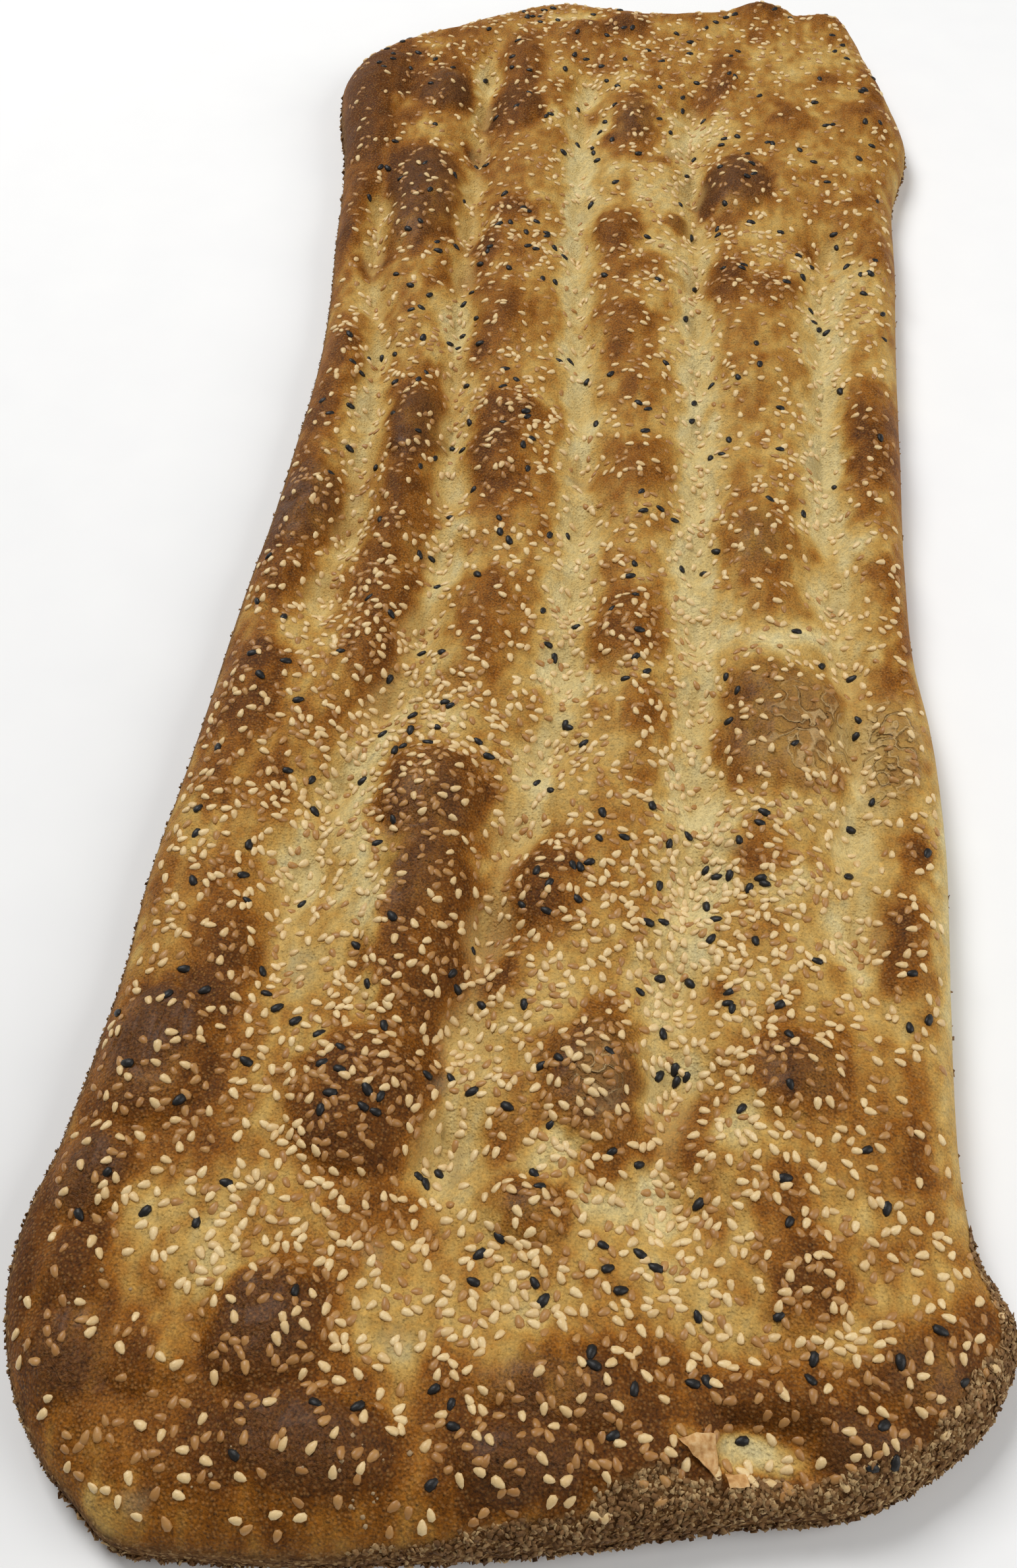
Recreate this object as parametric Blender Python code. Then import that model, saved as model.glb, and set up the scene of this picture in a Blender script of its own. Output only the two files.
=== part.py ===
"""Barbari bread: a long, flat loaf with finger grooves down its length and seeds on its crust.

The loaf lies on its flat underside, its length along Y and its top facing +Z. The origin is
on the underside, at the middle of the loaf. The near end is the one toward -Y.

Lengths below are in millimetres, and MM turns them into metres when a mesh is made.
"""
import math
import random

import bmesh
import bpy
import numpy as np
from mathutils import Matrix, Vector, noise
from mathutils.bvhtree import BVHTree

MM = 0.001

# The loaf seen from above, corner to corner, through the points that its uneven shape needs
NEAR_END = [(-107, -374), (-95, -383), (-84, -390), (-70, -391), (-32, -388), (20, -379), (68, -367),
            (97, -361), (117, -350), (132, -336)]
RIGHT_SIDE = [(132, -336), (140, -322), (142, -309), (133, -291), (130, -262), (131, -215),
              (133, -160), (131, -112), (126, -72), (125, -25), (126, 40), (127, 105),
              (129, 165), (130, 228), (138, 272), (137, 298), (128, 338), (121, 369), (112, 401)]
FAR_END = [(112, 401), (97, 415), (79, 416), (60, 419), (40, 412), (20, 407), (0, 405),
           (-40, 410), (-66, 408), (-86, 398), (-109, 382), (-131, 363), (-149, 347)]
LEFT_SIDE = [(-149, 347), (-160, 327), (-163, 305), (-158, 276), (-150, 243), (-144, 205),
             (-139, 165), (-132, 115), (-127, 60), (-126, -20), (-127, -80), (-127, -150),
             (-128, -200), (-126, -240), (-128, -290), (-131, -314), (-129, -336), (-120, -358),
             (-107, -374)]

# Heights above the table and the rounding of the edge
RIDGE_HEIGHT = 22.5
WIDEST_HEIGHT = 6.0
EDGE_ROUNDING = 22.0
EDGE_FULLNESS = 2.2
BASE_INSET = 4.0

# Grooves pressed in by fingertips: the line of each, from the near end to the far end
GROOVES = [
    [(-88, -95), (-97, -80), (-92, -42), (-94, -10), (-96, 30), (-101, 81), (-115, 132),
     (-121, 205)],
    [(-78, -235), (-79, -200), (-69, -152), (-62, -120), (-53, -78), (-54, -40), (-61, 22),
     (-68, 90), (-75, 183), (-80, 260), (-86, 345)],
    [(-18, -310), (-17, -250), (-12, -180), (-4, -142), (2, -99), (-2, -60), (-2, -10),
     (-8, 40), (-18, 132), (-25, 205), (-31, 325)],
    [(46, -300), (45, -240), (50, -180), (48, -110), (44, -50), (42, 0), (40, 81),
     (37, 132), (33, 200), (26, 310)],
    [(104, -225), (100, -180), (104, -120), (98, -72), (94, -20), (93, 40), (93, 132), (98, 200)],
]
GROOVE_DEPTH = 10.0
GROOVE_HALF_WIDTH = 12.5
GROOVE_NARROWING = 3.5
GROOVE_SHARPNESS = 1.4
GROOVE_FADE = 45.0
FINGERTIP_STEP = 37.0
FINGERTIP_DEPTH = 2.2

# Blisters raised by steam: middle x and y, half width, half length, height, crispness of rim
BLISTERS = [
    # The near end
    (-104, -266, 18, 24, 5.0, 0.7), (-112, -303, 12, 14, 4.0, 0.8), (-109, -329, 11, 12, 3.5, 0.7),
    (-106, -350, 13, 13, 3.0, 0.6), (-84, -348, 11, 10, 2.5, 0.6), (-55, -337, 17, 17, 5.0, 0.8),
    (-38, -364, 24, 14, 5.0, 0.6), (14, -361, 17, 11, 5.0, 0.6), (22, -342, 24, 12, 4.0, 0.6),
    (9, -299, 12, 9, 4.0, 0.9), (84, -309, 13, 15, 3.5, 0.6), (114, -328, 17, 17, 3.5, 0.5),
    (101, -349, 14, 9, 3.5, 0.6), (76, -338, 20, 7, 2.5, 0.6),
    # The near half, with the long blister
    (-40, -162, 19, 20, 6.0, 0.9), (-35, -212, 17, 44, 6.5, 0.9), (-42, -272, 23, 24, 6.0, 0.8),
    (-2, -192, 14, 20, 4.0, 0.6), (24, -258, 16, 22, 4.5, 0.8), (-90, -230, 13, 22, 3.5, 0.6),
    (-110, -126, 14, 30, 3.5, 0.5), (-112, -164, 9, 14, 2.5, 0.5), (81, -249, 16, 15, 4.0, 0.7),
    (115, -200, 13, 18, 3.5, 0.5), (76, -116, 26, 32, 5.5, 0.6), (114, -124, 12, 22, 3.5, 0.5),
    (-67, -94, 12, 30, 4.0, 0.6), (-36, -90, 15, 24, 3.5, 0.6), (20, -82, 14, 18, 3.5, 0.6),
    (27, -122, 11, 26, 2.5, 0.5),
    # The middle
    (-111, -28, 13, 28, 4.5, 0.8), (-112, -68, 12, 18, 3.5, 0.6), (-73, -14, 12, 18, 4.0, 0.6),
    (-75, -42, 12, 16, 3.5, 0.6), (-75, 26, 14, 26, 5.0, 0.7), (-37, 38, 15, 13, 3.5, 0.6),
    (-39, 12, 15, 22, 4.5, 0.7), (-33, -70, 15, 14, 3.0, 0.5), (18, 2, 16, 28, 3.5, 0.5),
    (15, 64, 11, 14, 3.0, 0.5), (67, -28, 15, 24, 4.0, 0.6), (71, -60, 12, 13, 2.5, 0.5),
    (62, 76, 14, 18, 3.0, 0.5), (113, 38, 13, 34, 4.0, 0.6), (-115, 66, 12, 24, 3.5, 0.6),
    (116, -30, 9, 18, 2.5, 0.5),
    # The far half
    (-101, 192, 20, 44, 6.5, 0.7), (-138, 245, 15, 22, 5.0, 0.5), (-133, 175, 9, 40, 3.0, 0.4),
    (-50, 102, 14, 30, 3.5, 0.6), (-58, 178, 12, 22, 3.0, 0.5), (-4, 172, 13, 20, 4.5, 0.7),
    (4, 108, 16, 20, 3.5, 0.5), (25, 189, 7, 8, 2.5, 0.8), (50, 222, 18, 26, 6.0, 0.7),
    (76, 230, 12, 18, 3.0, 0.4), (50, 142, 12, 17, 4.0, 0.8), (70, 136, 14, 13, 3.5, 0.6),
    (62, 108, 19, 15, 2.5, 0.5), (118, 168, 9, 24, 3.5, 0.6), (100, 200, 11, 26, 2.5, 0.5),
    # The far end
    (-142, 288, 18, 46, 7.5, 0.5), (-104, 294, 14, 21, 5.0, 0.8), (-65, 279, 14, 20, 5.0, 0.8),
    (-68, 328, 12, 26, 4.0, 0.6), (-40, 366, 15, 11, 3.5, 0.6), (-16, 375, 14, 12, 3.5, 0.6),
    (-3, 276, 11, 26, 4.0, 0.6), (60, 405, 18, 12, 5.0, 0.5), (43, 330, 10, 24, 3.0, 0.5),
    (96, 398, 16, 10, 3.0, 0.5), (116, 290, 15, 22, 3.5, 0.5), (77, 286, 11, 13, 2.5, 0.5),
    (121, 332, 9, 22, 2.5, 0.4),
]

# The torn place at the near end: a pale hollow, and the crust's lip over the bran to its left
HOLLOW = (76, -351, 17, 8, 5.0)
LIP_FROM = (36, -364)
LIP_TO = (60, -352)
LIP_HEIGHT = 2.5
FLAKE = [(52, -351.5), (61.5, -348.5), (63.5, -359.5)]
FLAKE_LIFT = 2.2
FLAKE_THICKNESS = 1.4

# Slow unevenness of the crust
SWELL_SIZE = 58.0
SWELL_HEIGHT = 2.0
LUMP_SIZE = 19.0
LUMP_HEIGHT = 1.2

# Spacing of the mesh, with narrower rows where the edge rounds down
CELL = 11.0
EDGE_ROWS = [0.0, 2.0, 7.0, 14.5]
POINTS_PER_SPAN = 12

# Seeds: half length, half width and half thickness of the two kinds
BLACK_SEED = (1.9, 1.15, 0.72)
PALE_SEED = (1.75, 1.02, 0.6)
SEEDS_FUSED = 112
SEED_SPACING = 11.0
SEED_EDGE_CLEARANCE = 12.0
SEED_SINK = 0.15
SEED_SIDES = 6
SEED_RINGS = 4
# Places where the baker's hand left more seeds: middle x and y, radius, extra weight
SEED_CLUMPS = [
    (-62, -295, 30, 1.6), (-38, -250, 24, 2.2), (-40, -140, 26, 2.0), (42, -190, 34, 2.2),
    (66, -182, 20, 1.8), (85, -325, 24, 0.9), (18, -330, 26, 0.9), (-82, -88, 24, 1.4),
    (-42, 42, 24, 1.6), (-90, 78, 24, 1.5), (-50, 172, 22, 2.4), (72, 152, 26, 1.8),
    (28, 252, 26, 1.8), (-62, 378, 24, 1.6), (-6, 338, 24, 1.8), (8, 136, 24, 1.2),
    (68, -226, 24, 1.5), (20, -82, 24, 1.4), (-80, -190, 34, 0.8), (10, -240, 34, 1.2),
    (40, -290, 40, 1.0), (30, 300, 24, 1.2),
]
# Places that few seeds reached
SEED_GAPS = [(-108, -345, 44, 0.75), (112, -110, 30, 0.7), (88, -50, 26, 0.4),
             (-140, 260, 34, 0.7), (112, 300, 40, 0.5), (-20, -372, 50, 0.6)]


def clear_scene():
    for thing in list(bpy.data.objects):
        bpy.data.objects.remove(thing, do_unlink=True)


def closed_curve(points):
    """A smooth closed curve through the points, as a dense list of places along it."""
    middle = np.array(points, float)
    before, after, later = (np.roll(middle, n, 0) for n in (1, -1, -2))
    a, b, c, d = (q[:, None, :] for q in (before, middle, after, later))
    t = (np.arange(POINTS_PER_SPAN) / POINTS_PER_SPAN)[None, :, None]
    bend = (2 * a - 5 * b + 4 * c - d) * t**2 + (3 * b - a - 3 * c + d) * t**3
    return (0.5 * (2 * b + (c - a) * t + bend)).reshape(-1, 2)


def loaf_sides():
    """The outline as four dense curves: near end, right side, far end and left side."""
    sides = [NEAR_END, RIGHT_SIDE, FAR_END, LEFT_SIDE]
    loop = closed_curve([p for side in sides for p in side[:-1]])
    curves = []
    start = 0
    for side in sides:
        stop = start + (len(side) - 1) * POINTS_PER_SPAN
        curves.append(np.take(loop, range(start, stop + 1), 0, mode="wrap"))
        start = stop
    return loop, curves


def along(curve, fractions):
    """Points at the given fractions of a curve's length."""
    steps = np.hypot(*np.diff(curve, axis=0).T)
    reach = np.concatenate([[0], np.cumsum(steps)]) / steps.sum()
    return np.stack([np.interp(fractions, reach, curve[:, k]) for k in (0, 1)], -1)


def graded(length):
    """Fractions from 0 to 1, narrow at both ends and about a cell apart between them."""
    rows = np.array(EDGE_ROWS) / length
    count = round((length - 2 * EDGE_ROWS[-1]) / CELL)
    middle = np.linspace(rows[-1], 1 - rows[-1], count + 1)[1:-1]
    return np.concatenate([rows, middle, 1 - rows[::-1]])


def crust_grid(curves):
    """The grid of places on the top, blended from the four sides (a Coons patch)."""
    near, right, far, left = curves
    across = graded(250.0)
    lengthwise = graded(780.0)
    bottom, top = along(near, across), along(far[::-1], across)
    west, east = along(left[::-1], lengthwise), along(right, lengthwise)
    s = across[None, :, None]
    t = lengthwise[:, None, None]
    ends = (1 - t) * bottom[None] + t * top[None]
    flanks = (1 - s) * west[:, None] + s * east[:, None]
    corners = ((1 - s) * (1 - t) * bottom[0] + s * (1 - t) * bottom[-1]
               + (1 - s) * t * top[0] + s * t * top[-1])
    return ends + flanks - corners


def edge_distance(x, y, loop):
    """Distance from each place to the outline."""
    start, stop = loop, np.roll(loop, -1, 0)
    best = np.full(x.shape, 1e9)
    for (ax, ay), (bx, by) in zip(start, stop):
        dx, dy = bx - ax, by - ay
        t = np.clip(((x - ax) * dx + (y - ay) * dy) / (dx * dx + dy * dy), 0, 1)
        best = np.minimum(best, np.hypot(x - ax - t * dx, y - ay - t * dy))
    return best


def noise_at(x, y, size, layer):
    """Smooth noise between about -1 and 1, with features of the given size."""
    flat = [noise.noise(Vector((u / size, v / size, layer))) for u, v in zip(x.flat, y.flat)]
    return np.array(flat).reshape(x.shape)


def fade(value, start, stop):
    t = np.clip((value - start) / (stop - start), 0, 1)
    return t * t * (3 - 2 * t)


def groove_depth(x, y):
    """How far the fingers pressed the dough down at each place."""
    depth = np.zeros(x.shape)
    for number, line in enumerate(GROOVES):
        line = np.array(line, float)
        smooth_y = np.linspace(line[0, 1], line[-1, 1], 60)
        smooth_x = np.interp(smooth_y, line[:, 1], line[:, 0])
        smooth_x = np.convolve(np.pad(smooth_x, 3, "edge"), np.ones(7) / 7, "valid")
        middle = np.interp(y, smooth_y, smooth_x)
        reach = fade(y, line[0, 1] - GROOVE_FADE / 2, line[0, 1] + GROOVE_FADE / 2)
        reach = reach * (1 - fade(y, line[-1, 1] - GROOVE_FADE / 2, line[-1, 1] + GROOVE_FADE / 2))
        tips = FINGERTIP_DEPTH * np.cos(2 * math.pi * y / FINGERTIP_STEP + 2.1 * number)
        half_width = GROOVE_HALF_WIDTH - GROOVE_NARROWING * fade(y, -150, 60)
        side = np.abs((x - middle) / half_width) ** GROOVE_SHARPNESS
        depth = np.maximum(depth, (GROOVE_DEPTH + tips) * reach * np.exp(-side))
    return depth


def blister_height(x, y):
    """The domes over pockets of steam. A crisp one has a steep rim."""
    ragged = 1 + 0.16 * noise_at(x, y, 15.0, 4.0)
    total = np.zeros(x.shape)
    for bx, by, half_width, half_length, height, crisp in BLISTERS:
        q = (((x - bx) / half_width) ** 2 + ((y - by) / half_length) ** 2) * ragged
        dome = crisp * np.clip(1 - q, 0, 1) ** 0.6 + (1 - crisp) * np.exp(-1.4 * q)
        total = np.maximum(total, height * dome)
    return total


def tear_height(x, y):
    """The pale hollow at the near end, and the lip of crust beside it."""
    hx, hy, half_width, half_length, depth = HOLLOW
    q = ((x - hx) / half_width) ** 2 + ((y - hy) / half_length) ** 2
    hollow = -depth * np.exp(-q * q)
    (ax, ay), (bx, by) = LIP_FROM, LIP_TO
    length = math.hypot(bx - ax, by - ay)
    run = ((x - ax) * (bx - ax) + (y - ay) * (by - ay)) / length
    above = ((y - ay) * (bx - ax) - (x - ax) * (by - ay)) / length
    beside = fade(run, -8, 4) * (1 - fade(run, length - 4, length + 8))
    lip = LIP_HEIGHT * beside * fade(above, -1.5, 1.5) * np.exp(-np.clip(above, 0, None) / 14)
    return hollow + lip


def crust_height(x, y, loop):
    """Height of the crust above the table at each place."""
    full = RIDGE_HEIGHT - groove_depth(x, y) + blister_height(x, y) + tear_height(x, y)
    full = full + SWELL_HEIGHT * noise_at(x, y, SWELL_SIZE, 1.0)
    full = full + LUMP_HEIGHT * noise_at(x, y, LUMP_SIZE, 2.0)
    inward = np.clip(edge_distance(x, y, loop) / EDGE_ROUNDING, 0, 1)
    rise = (1 - (1 - inward) ** EDGE_FULLNESS) ** (1 / EDGE_FULLNESS)
    return WIDEST_HEIGHT + (full - WIDEST_HEIGHT) * rise


def shifted_inward(ring, amount):
    """The ring of vertices moved toward the loaf's middle, square to the outline."""
    forward = np.roll(ring, -1, 0) - np.roll(ring, 1, 0)
    inward = np.stack([-forward[:, 1], forward[:, 0]], -1)
    return ring + amount * inward / np.linalg.norm(inward, axis=1)[:, None]


def border(rows, columns):
    """Grid positions around the edge, counter-clockwise from the near left corner."""
    path = [(0, c) for c in range(columns)]
    path += [(r, columns - 1) for r in range(1, rows)]
    path += [(rows - 1, c) for c in range(columns - 2, -1, -1)]
    path += [(r, 0) for r in range(rows - 2, 0, -1)]
    return path


def build_loaf():
    """The closed body: crust grid on top, a tucked-under rim and the flat underside."""
    loop, curves = loaf_sides()
    grid = crust_grid(curves)
    rows, columns = grid.shape[:2]
    height = crust_height(grid[..., 0], grid[..., 1], loop)
    bm = bmesh.new()
    top = [[bm.verts.new(Vector((*grid[r, c], height[r, c])) * MM) for c in range(columns)]
           for r in range(rows)]
    for r in range(rows - 1):
        for c in range(columns - 1):
            bm.faces.new((top[r][c], top[r][c + 1], top[r + 1][c + 1], top[r + 1][c]))
    rim = [top[r][c] for r, c in border(rows, columns)]
    outline = np.array([v.co[:2] for v in rim]) / MM
    for inset, level in ((BASE_INSET * 0.3, WIDEST_HEIGHT * 0.35), (BASE_INSET, 0.0)):
        places = shifted_inward(outline, inset)
        ring = [bm.verts.new(Vector((px, py, level)) * MM) for px, py in places]
        for k in range(len(rim)):
            n = (k + 1) % len(rim)
            bm.faces.new((rim[k], ring[k], ring[n], rim[n]))
        rim = ring
    bm.faces.new(rim[::-1])
    bmesh.ops.triangulate(bm, faces=bm.faces[:])
    bmesh.ops.recalc_face_normals(bm, faces=bm.faces[:])
    return bm, loop


def seed_weight(x, y):
    """How likely a seed is to have fallen at a place, from the clumps and gaps."""
    weight = 1.0 + 0.7 * noise.noise(Vector((x / 30, y / 30, 7.0)))
    weight += 0.9 * noise.noise(Vector((x / 9, y / 9, 8.0)))
    for cx, cy, radius, extra in SEED_CLUMPS:
        weight += extra * math.exp(-((x - cx) ** 2 + (y - cy) ** 2) / radius**2)
    for cx, cy, radius, loss in SEED_GAPS:
        weight *= 1 - loss * math.exp(-((x - cx) ** 2 + (y - cy) ** 2) / radius**2)
    return max(weight, 0.06)


def scatter_seeds(rng, count, spacing, loop, taken):
    """Draws seed places by their weight, each clear of the edge and of those before it."""
    places = []
    while len(places) < count:
        x, y = rng.uniform(-165, 140), rng.uniform(-395, 415)
        if rng.uniform(0, 3.6) > seed_weight(x, y) or not inside(x, y, loop):
            continue
        if ((loop - (x, y)) ** 2).sum(1).min() < SEED_EDGE_CLEARANCE**2:
            continue
        if taken and ((np.array(taken) - (x, y)) ** 2).sum(1).min() < spacing**2:
            continue
        taken.append((x, y))
        places.append((x, y, rng.uniform(0, 2 * math.pi)))
    return places


def inside(x, y, loop):
    """Whether a place is within the outline, by counting the crossings to its right."""
    ax, ay = loop.T
    bx, by = np.roll(loop, -1, 0).T
    spans = (ay > y) != (by > y)
    crossing = ax[spans] + (y - ay[spans]) * (bx[spans] - ax[spans]) / (by[spans] - ay[spans])
    return np.count_nonzero(crossing > x) % 2 == 1


def lay_on(tree, x, y):
    """Where a vertical line through a place meets the crust, and the crust's slope there."""
    point, normal, _, _ = tree.ray_cast(Vector((x, y, 80)) * MM, Vector((0, 0, -1)))
    return point, normal


def seed_mesh(name, sizes):
    """A drop-shaped seed lying along X, its narrow tip toward +X."""
    length, width, thickness = (s * MM for s in sizes)
    bm = bmesh.new()
    bmesh.ops.create_uvsphere(bm, u_segments=SEED_SIDES, v_segments=SEED_RINGS, radius=1)
    for vert in bm.verts:
        x, y, z = vert.co.z, vert.co.x, vert.co.y
        taper = 1 - 0.25 * x
        vert.co = (x * length, y * width * taper, z * thickness * taper)
    bmesh.ops.triangulate(bm, faces=bm.faces[:])
    bmesh.ops.recalc_face_normals(bm, faces=bm.faces[:])
    mesh = bpy.data.meshes.new(name)
    bm.to_mesh(mesh)
    bm.free()
    return mesh


def seeds_to_fuse(tree, loop, collection):
    """The largest seeds, two black ones to each pale one, spread over the whole top."""
    rng = random.Random(11)
    meshes = [seed_mesh("black seed", BLACK_SEED), seed_mesh("pale seed", PALE_SEED)]
    for number, (x, y, turn) in enumerate(scatter_seeds(rng, SEEDS_FUSED, SEED_SPACING, loop, [])):
        point, normal = lay_on(tree, x, y)
        heading = Vector((math.cos(turn), math.sin(turn), 0))
        across = normal.cross(heading).normalized()
        frame = Matrix((across.cross(normal), across, normal)).transposed().to_4x4()
        seed = bpy.data.objects.new(f"seed {number}", meshes[number % 3 == 2])
        sink = SEED_SINK * MM
        seed.matrix_world = Matrix.Translation(point + normal * sink) @ frame
        collection.objects.link(seed)


def flake_to_fuse(tree, collection):
    """The torn flake of crust: a thin wedge whose front edge stands clear of the bran."""
    bm = bmesh.new()
    lifts = (0.4, 0.4 + FLAKE_LIFT / 2, FLAKE_LIFT)
    upper = []
    lower = []
    for (x, y), lift in zip(FLAKE, lifts):
        point, _ = lay_on(tree, x, y)
        upper.append(bm.verts.new(point + Vector((0, 0, lift * MM))))
        lower.append(bm.verts.new(point - Vector((0, 0, FLAKE_THICKNESS * MM))))
    bm.faces.new(upper)
    bm.faces.new(lower[::-1])
    for k in range(3):
        n = (k + 1) % 3
        bm.faces.new((upper[k], lower[k], lower[n], upper[n]))
    bmesh.ops.triangulate(bm, faces=bm.faces[:])
    bmesh.ops.recalc_face_normals(bm, faces=bm.faces[:])
    mesh = bpy.data.meshes.new("flake")
    bm.to_mesh(mesh)
    bm.free()
    collection.objects.link(bpy.data.objects.new("flake", mesh))


def crust_material():
    material = bpy.data.materials.new("crust")
    material.use_nodes = True
    shader = material.node_tree.nodes["Principled BSDF"]
    shader.inputs["Base Color"].default_value = (0.36, 0.19, 0.055, 1)
    shader.inputs["Roughness"].default_value = 0.55
    shader.inputs["Metallic"].default_value = 0.0
    return material


def fuse(loaf, collection):
    """Joins everything in the collection to the loaf, then removes the loose pieces."""
    union = loaf.modifiers.new("Seeds", "BOOLEAN")
    union.operation = "UNION"
    union.operand_type = "COLLECTION"
    union.collection = collection
    union.solver = "EXACT"
    bpy.context.view_layer.update()
    joined = loaf.evaluated_get(bpy.context.evaluated_depsgraph_get())
    mesh = bpy.data.meshes.new_from_object(joined)
    loaf.modifiers.clear()
    loaf.data = mesh
    for piece in list(collection.objects):
        bpy.data.objects.remove(piece, do_unlink=True)
    bpy.data.collections.remove(collection)


def main():
    clear_scene()
    bm, loop = build_loaf()
    tree = BVHTree.FromBMesh(bm)
    mesh = bpy.data.meshes.new("barbari_bread")
    bm.to_mesh(mesh)
    bm.free()
    loaf = bpy.data.objects.new("barbari_bread", mesh)
    bpy.context.scene.collection.objects.link(loaf)
    toppings = bpy.data.collections.new("toppings")
    bpy.context.scene.collection.children.link(toppings)
    seeds_to_fuse(tree, loop, toppings)
    flake_to_fuse(tree, toppings)
    fuse(loaf, toppings)
    loaf.data.name = "barbari_bread"
    loaf.data.materials.clear()
    loaf.data.materials.append(crust_material())


main()
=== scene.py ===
# %% [markdown]
# # A barbari bread
# Barbari is a long leavened flatbread. The baker presses grooves into the dough with the
# fingertips, brushes it with a flour paste, strews it with seeds and bakes it on a floor dusted
# with bran. So it has pale valleys, browned ridges, blisters of steam with a toffee-coloured
# skin, pale and black seeds, and bran on its flanks. This lesson builds those in that order.
#
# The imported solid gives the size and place. The loaf's own form is worked out again here on a
# much finer mesh, because a solid of a few thousand triangles can't hold the crust's detail.

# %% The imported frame
import math
import random

import bmesh
import bpy
import numpy as np
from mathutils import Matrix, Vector, noise
from mathutils.bvhtree import BVHTree


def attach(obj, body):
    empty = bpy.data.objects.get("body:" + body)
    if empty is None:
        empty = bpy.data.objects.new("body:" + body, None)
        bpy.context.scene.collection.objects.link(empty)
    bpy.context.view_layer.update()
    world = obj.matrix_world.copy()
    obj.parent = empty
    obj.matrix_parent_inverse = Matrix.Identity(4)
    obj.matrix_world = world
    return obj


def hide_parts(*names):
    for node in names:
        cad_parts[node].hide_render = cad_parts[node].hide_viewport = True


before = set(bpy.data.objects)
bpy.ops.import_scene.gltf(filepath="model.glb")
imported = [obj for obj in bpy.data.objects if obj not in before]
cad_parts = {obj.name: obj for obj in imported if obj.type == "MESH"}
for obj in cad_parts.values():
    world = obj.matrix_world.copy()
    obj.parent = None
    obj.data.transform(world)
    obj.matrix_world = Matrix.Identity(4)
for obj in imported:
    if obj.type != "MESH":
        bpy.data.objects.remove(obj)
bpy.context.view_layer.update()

MM = 0.001
NODE = "barbari_bread"
BODY = "root"

# %% [markdown]
# ## Camera, floor and light
# The loaf's long sides are parallel, so how fast they draw together in the picture gives the
# camera's tilt. The lens follows from the height of the picture in pixels and the distance at
# which that picture would be seen at its true perspective. The light is a wide soft panel on
# the far left, a weaker one on the right, and a bright even sky, as in a room with large windows.

# %% Camera at the photograph's angle
PICTURE_HEIGHT = 2380
FOCAL_PIXELS = 2108.0
SENSOR = 36.0
CAMERA_PLACE = (20 * MM, -430 * MM, 394.8 * MM)
CAMERA_BELOW_LEVEL = math.radians(53.5)
CAMERA_TURNED_LEFT = math.radians(7.13)


def placed(name, data):
    """An object for the data, added to the scene."""
    made = bpy.data.objects.new(name, data)
    bpy.context.scene.collection.objects.link(made)
    return made


lens = bpy.data.cameras.new("camera")
lens.sensor_width = SENSOR
lens.lens = SENSOR * FOCAL_PIXELS / PICTURE_HEIGHT
lens.clip_start = 0.01
camera = placed("camera", lens)
camera.location = CAMERA_PLACE
camera.rotation_euler = (math.pi / 2 - CAMERA_BELOW_LEVEL, 0, CAMERA_TURNED_LEFT)
bpy.context.scene.camera = camera
print("lens in mm:", round(lens.lens, 2))


# %% [markdown]
# ## Colours and finishes
# Each finish is one Principled shader, fed by noise, cells and the mesh's own attributes. Nodes
# can be joined by hand in the editor, but a sum such as skin * 0.65 is easier to read than five
# nodes. So one class wraps a socket, and its sums add the Math nodes. Another class holds a
# material, adds any node to it, and names the few kinds of node that these finishes use.

# %% Colours and sums of sockets
def srgb(red, green, blue):
    """A colour as a screen shows it, 0 to 255, turned into the linear one that shaders use."""
    parts = [c / 255 for c in (red, green, blue)]
    return tuple(c / 12.92 if c <= 0.04045 else ((c + 0.055) / 1.055) ** 2.4 for c in parts) + (1,)


class Wire:
    """A socket's value. Sums written with + - and * add Math nodes."""

    def __init__(self, finish, socket):
        self.finish = finish
        self.socket = socket

    def math(self, operation, *others):
        inputs = dict(enumerate((self, *others)))
        return self.finish.node("ShaderNodeMath", {"operation": operation}, inputs)

    def __add__(self, other):
        return self.math("ADD", other)

    def __sub__(self, other):
        return self.math("SUBTRACT", other)

    def __mul__(self, other):
        return self.math("MULTIPLY", other)

    def __rsub__(self, other):
        return self.finish.node("ShaderNodeMath", {"operation": "SUBTRACT"}, {0: other, 1: self})

    __radd__ = __add__
    __rmul__ = __mul__

    def between(self, low, high):
        """0 below low, 1 above high, and a smooth step between them."""
        settings = {"interpolation_type": "SMOOTHSTEP"}
        return self.finish.node("ShaderNodeMapRange", settings,
                                {"Value": self, "From Min": low, "From Max": high})


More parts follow.
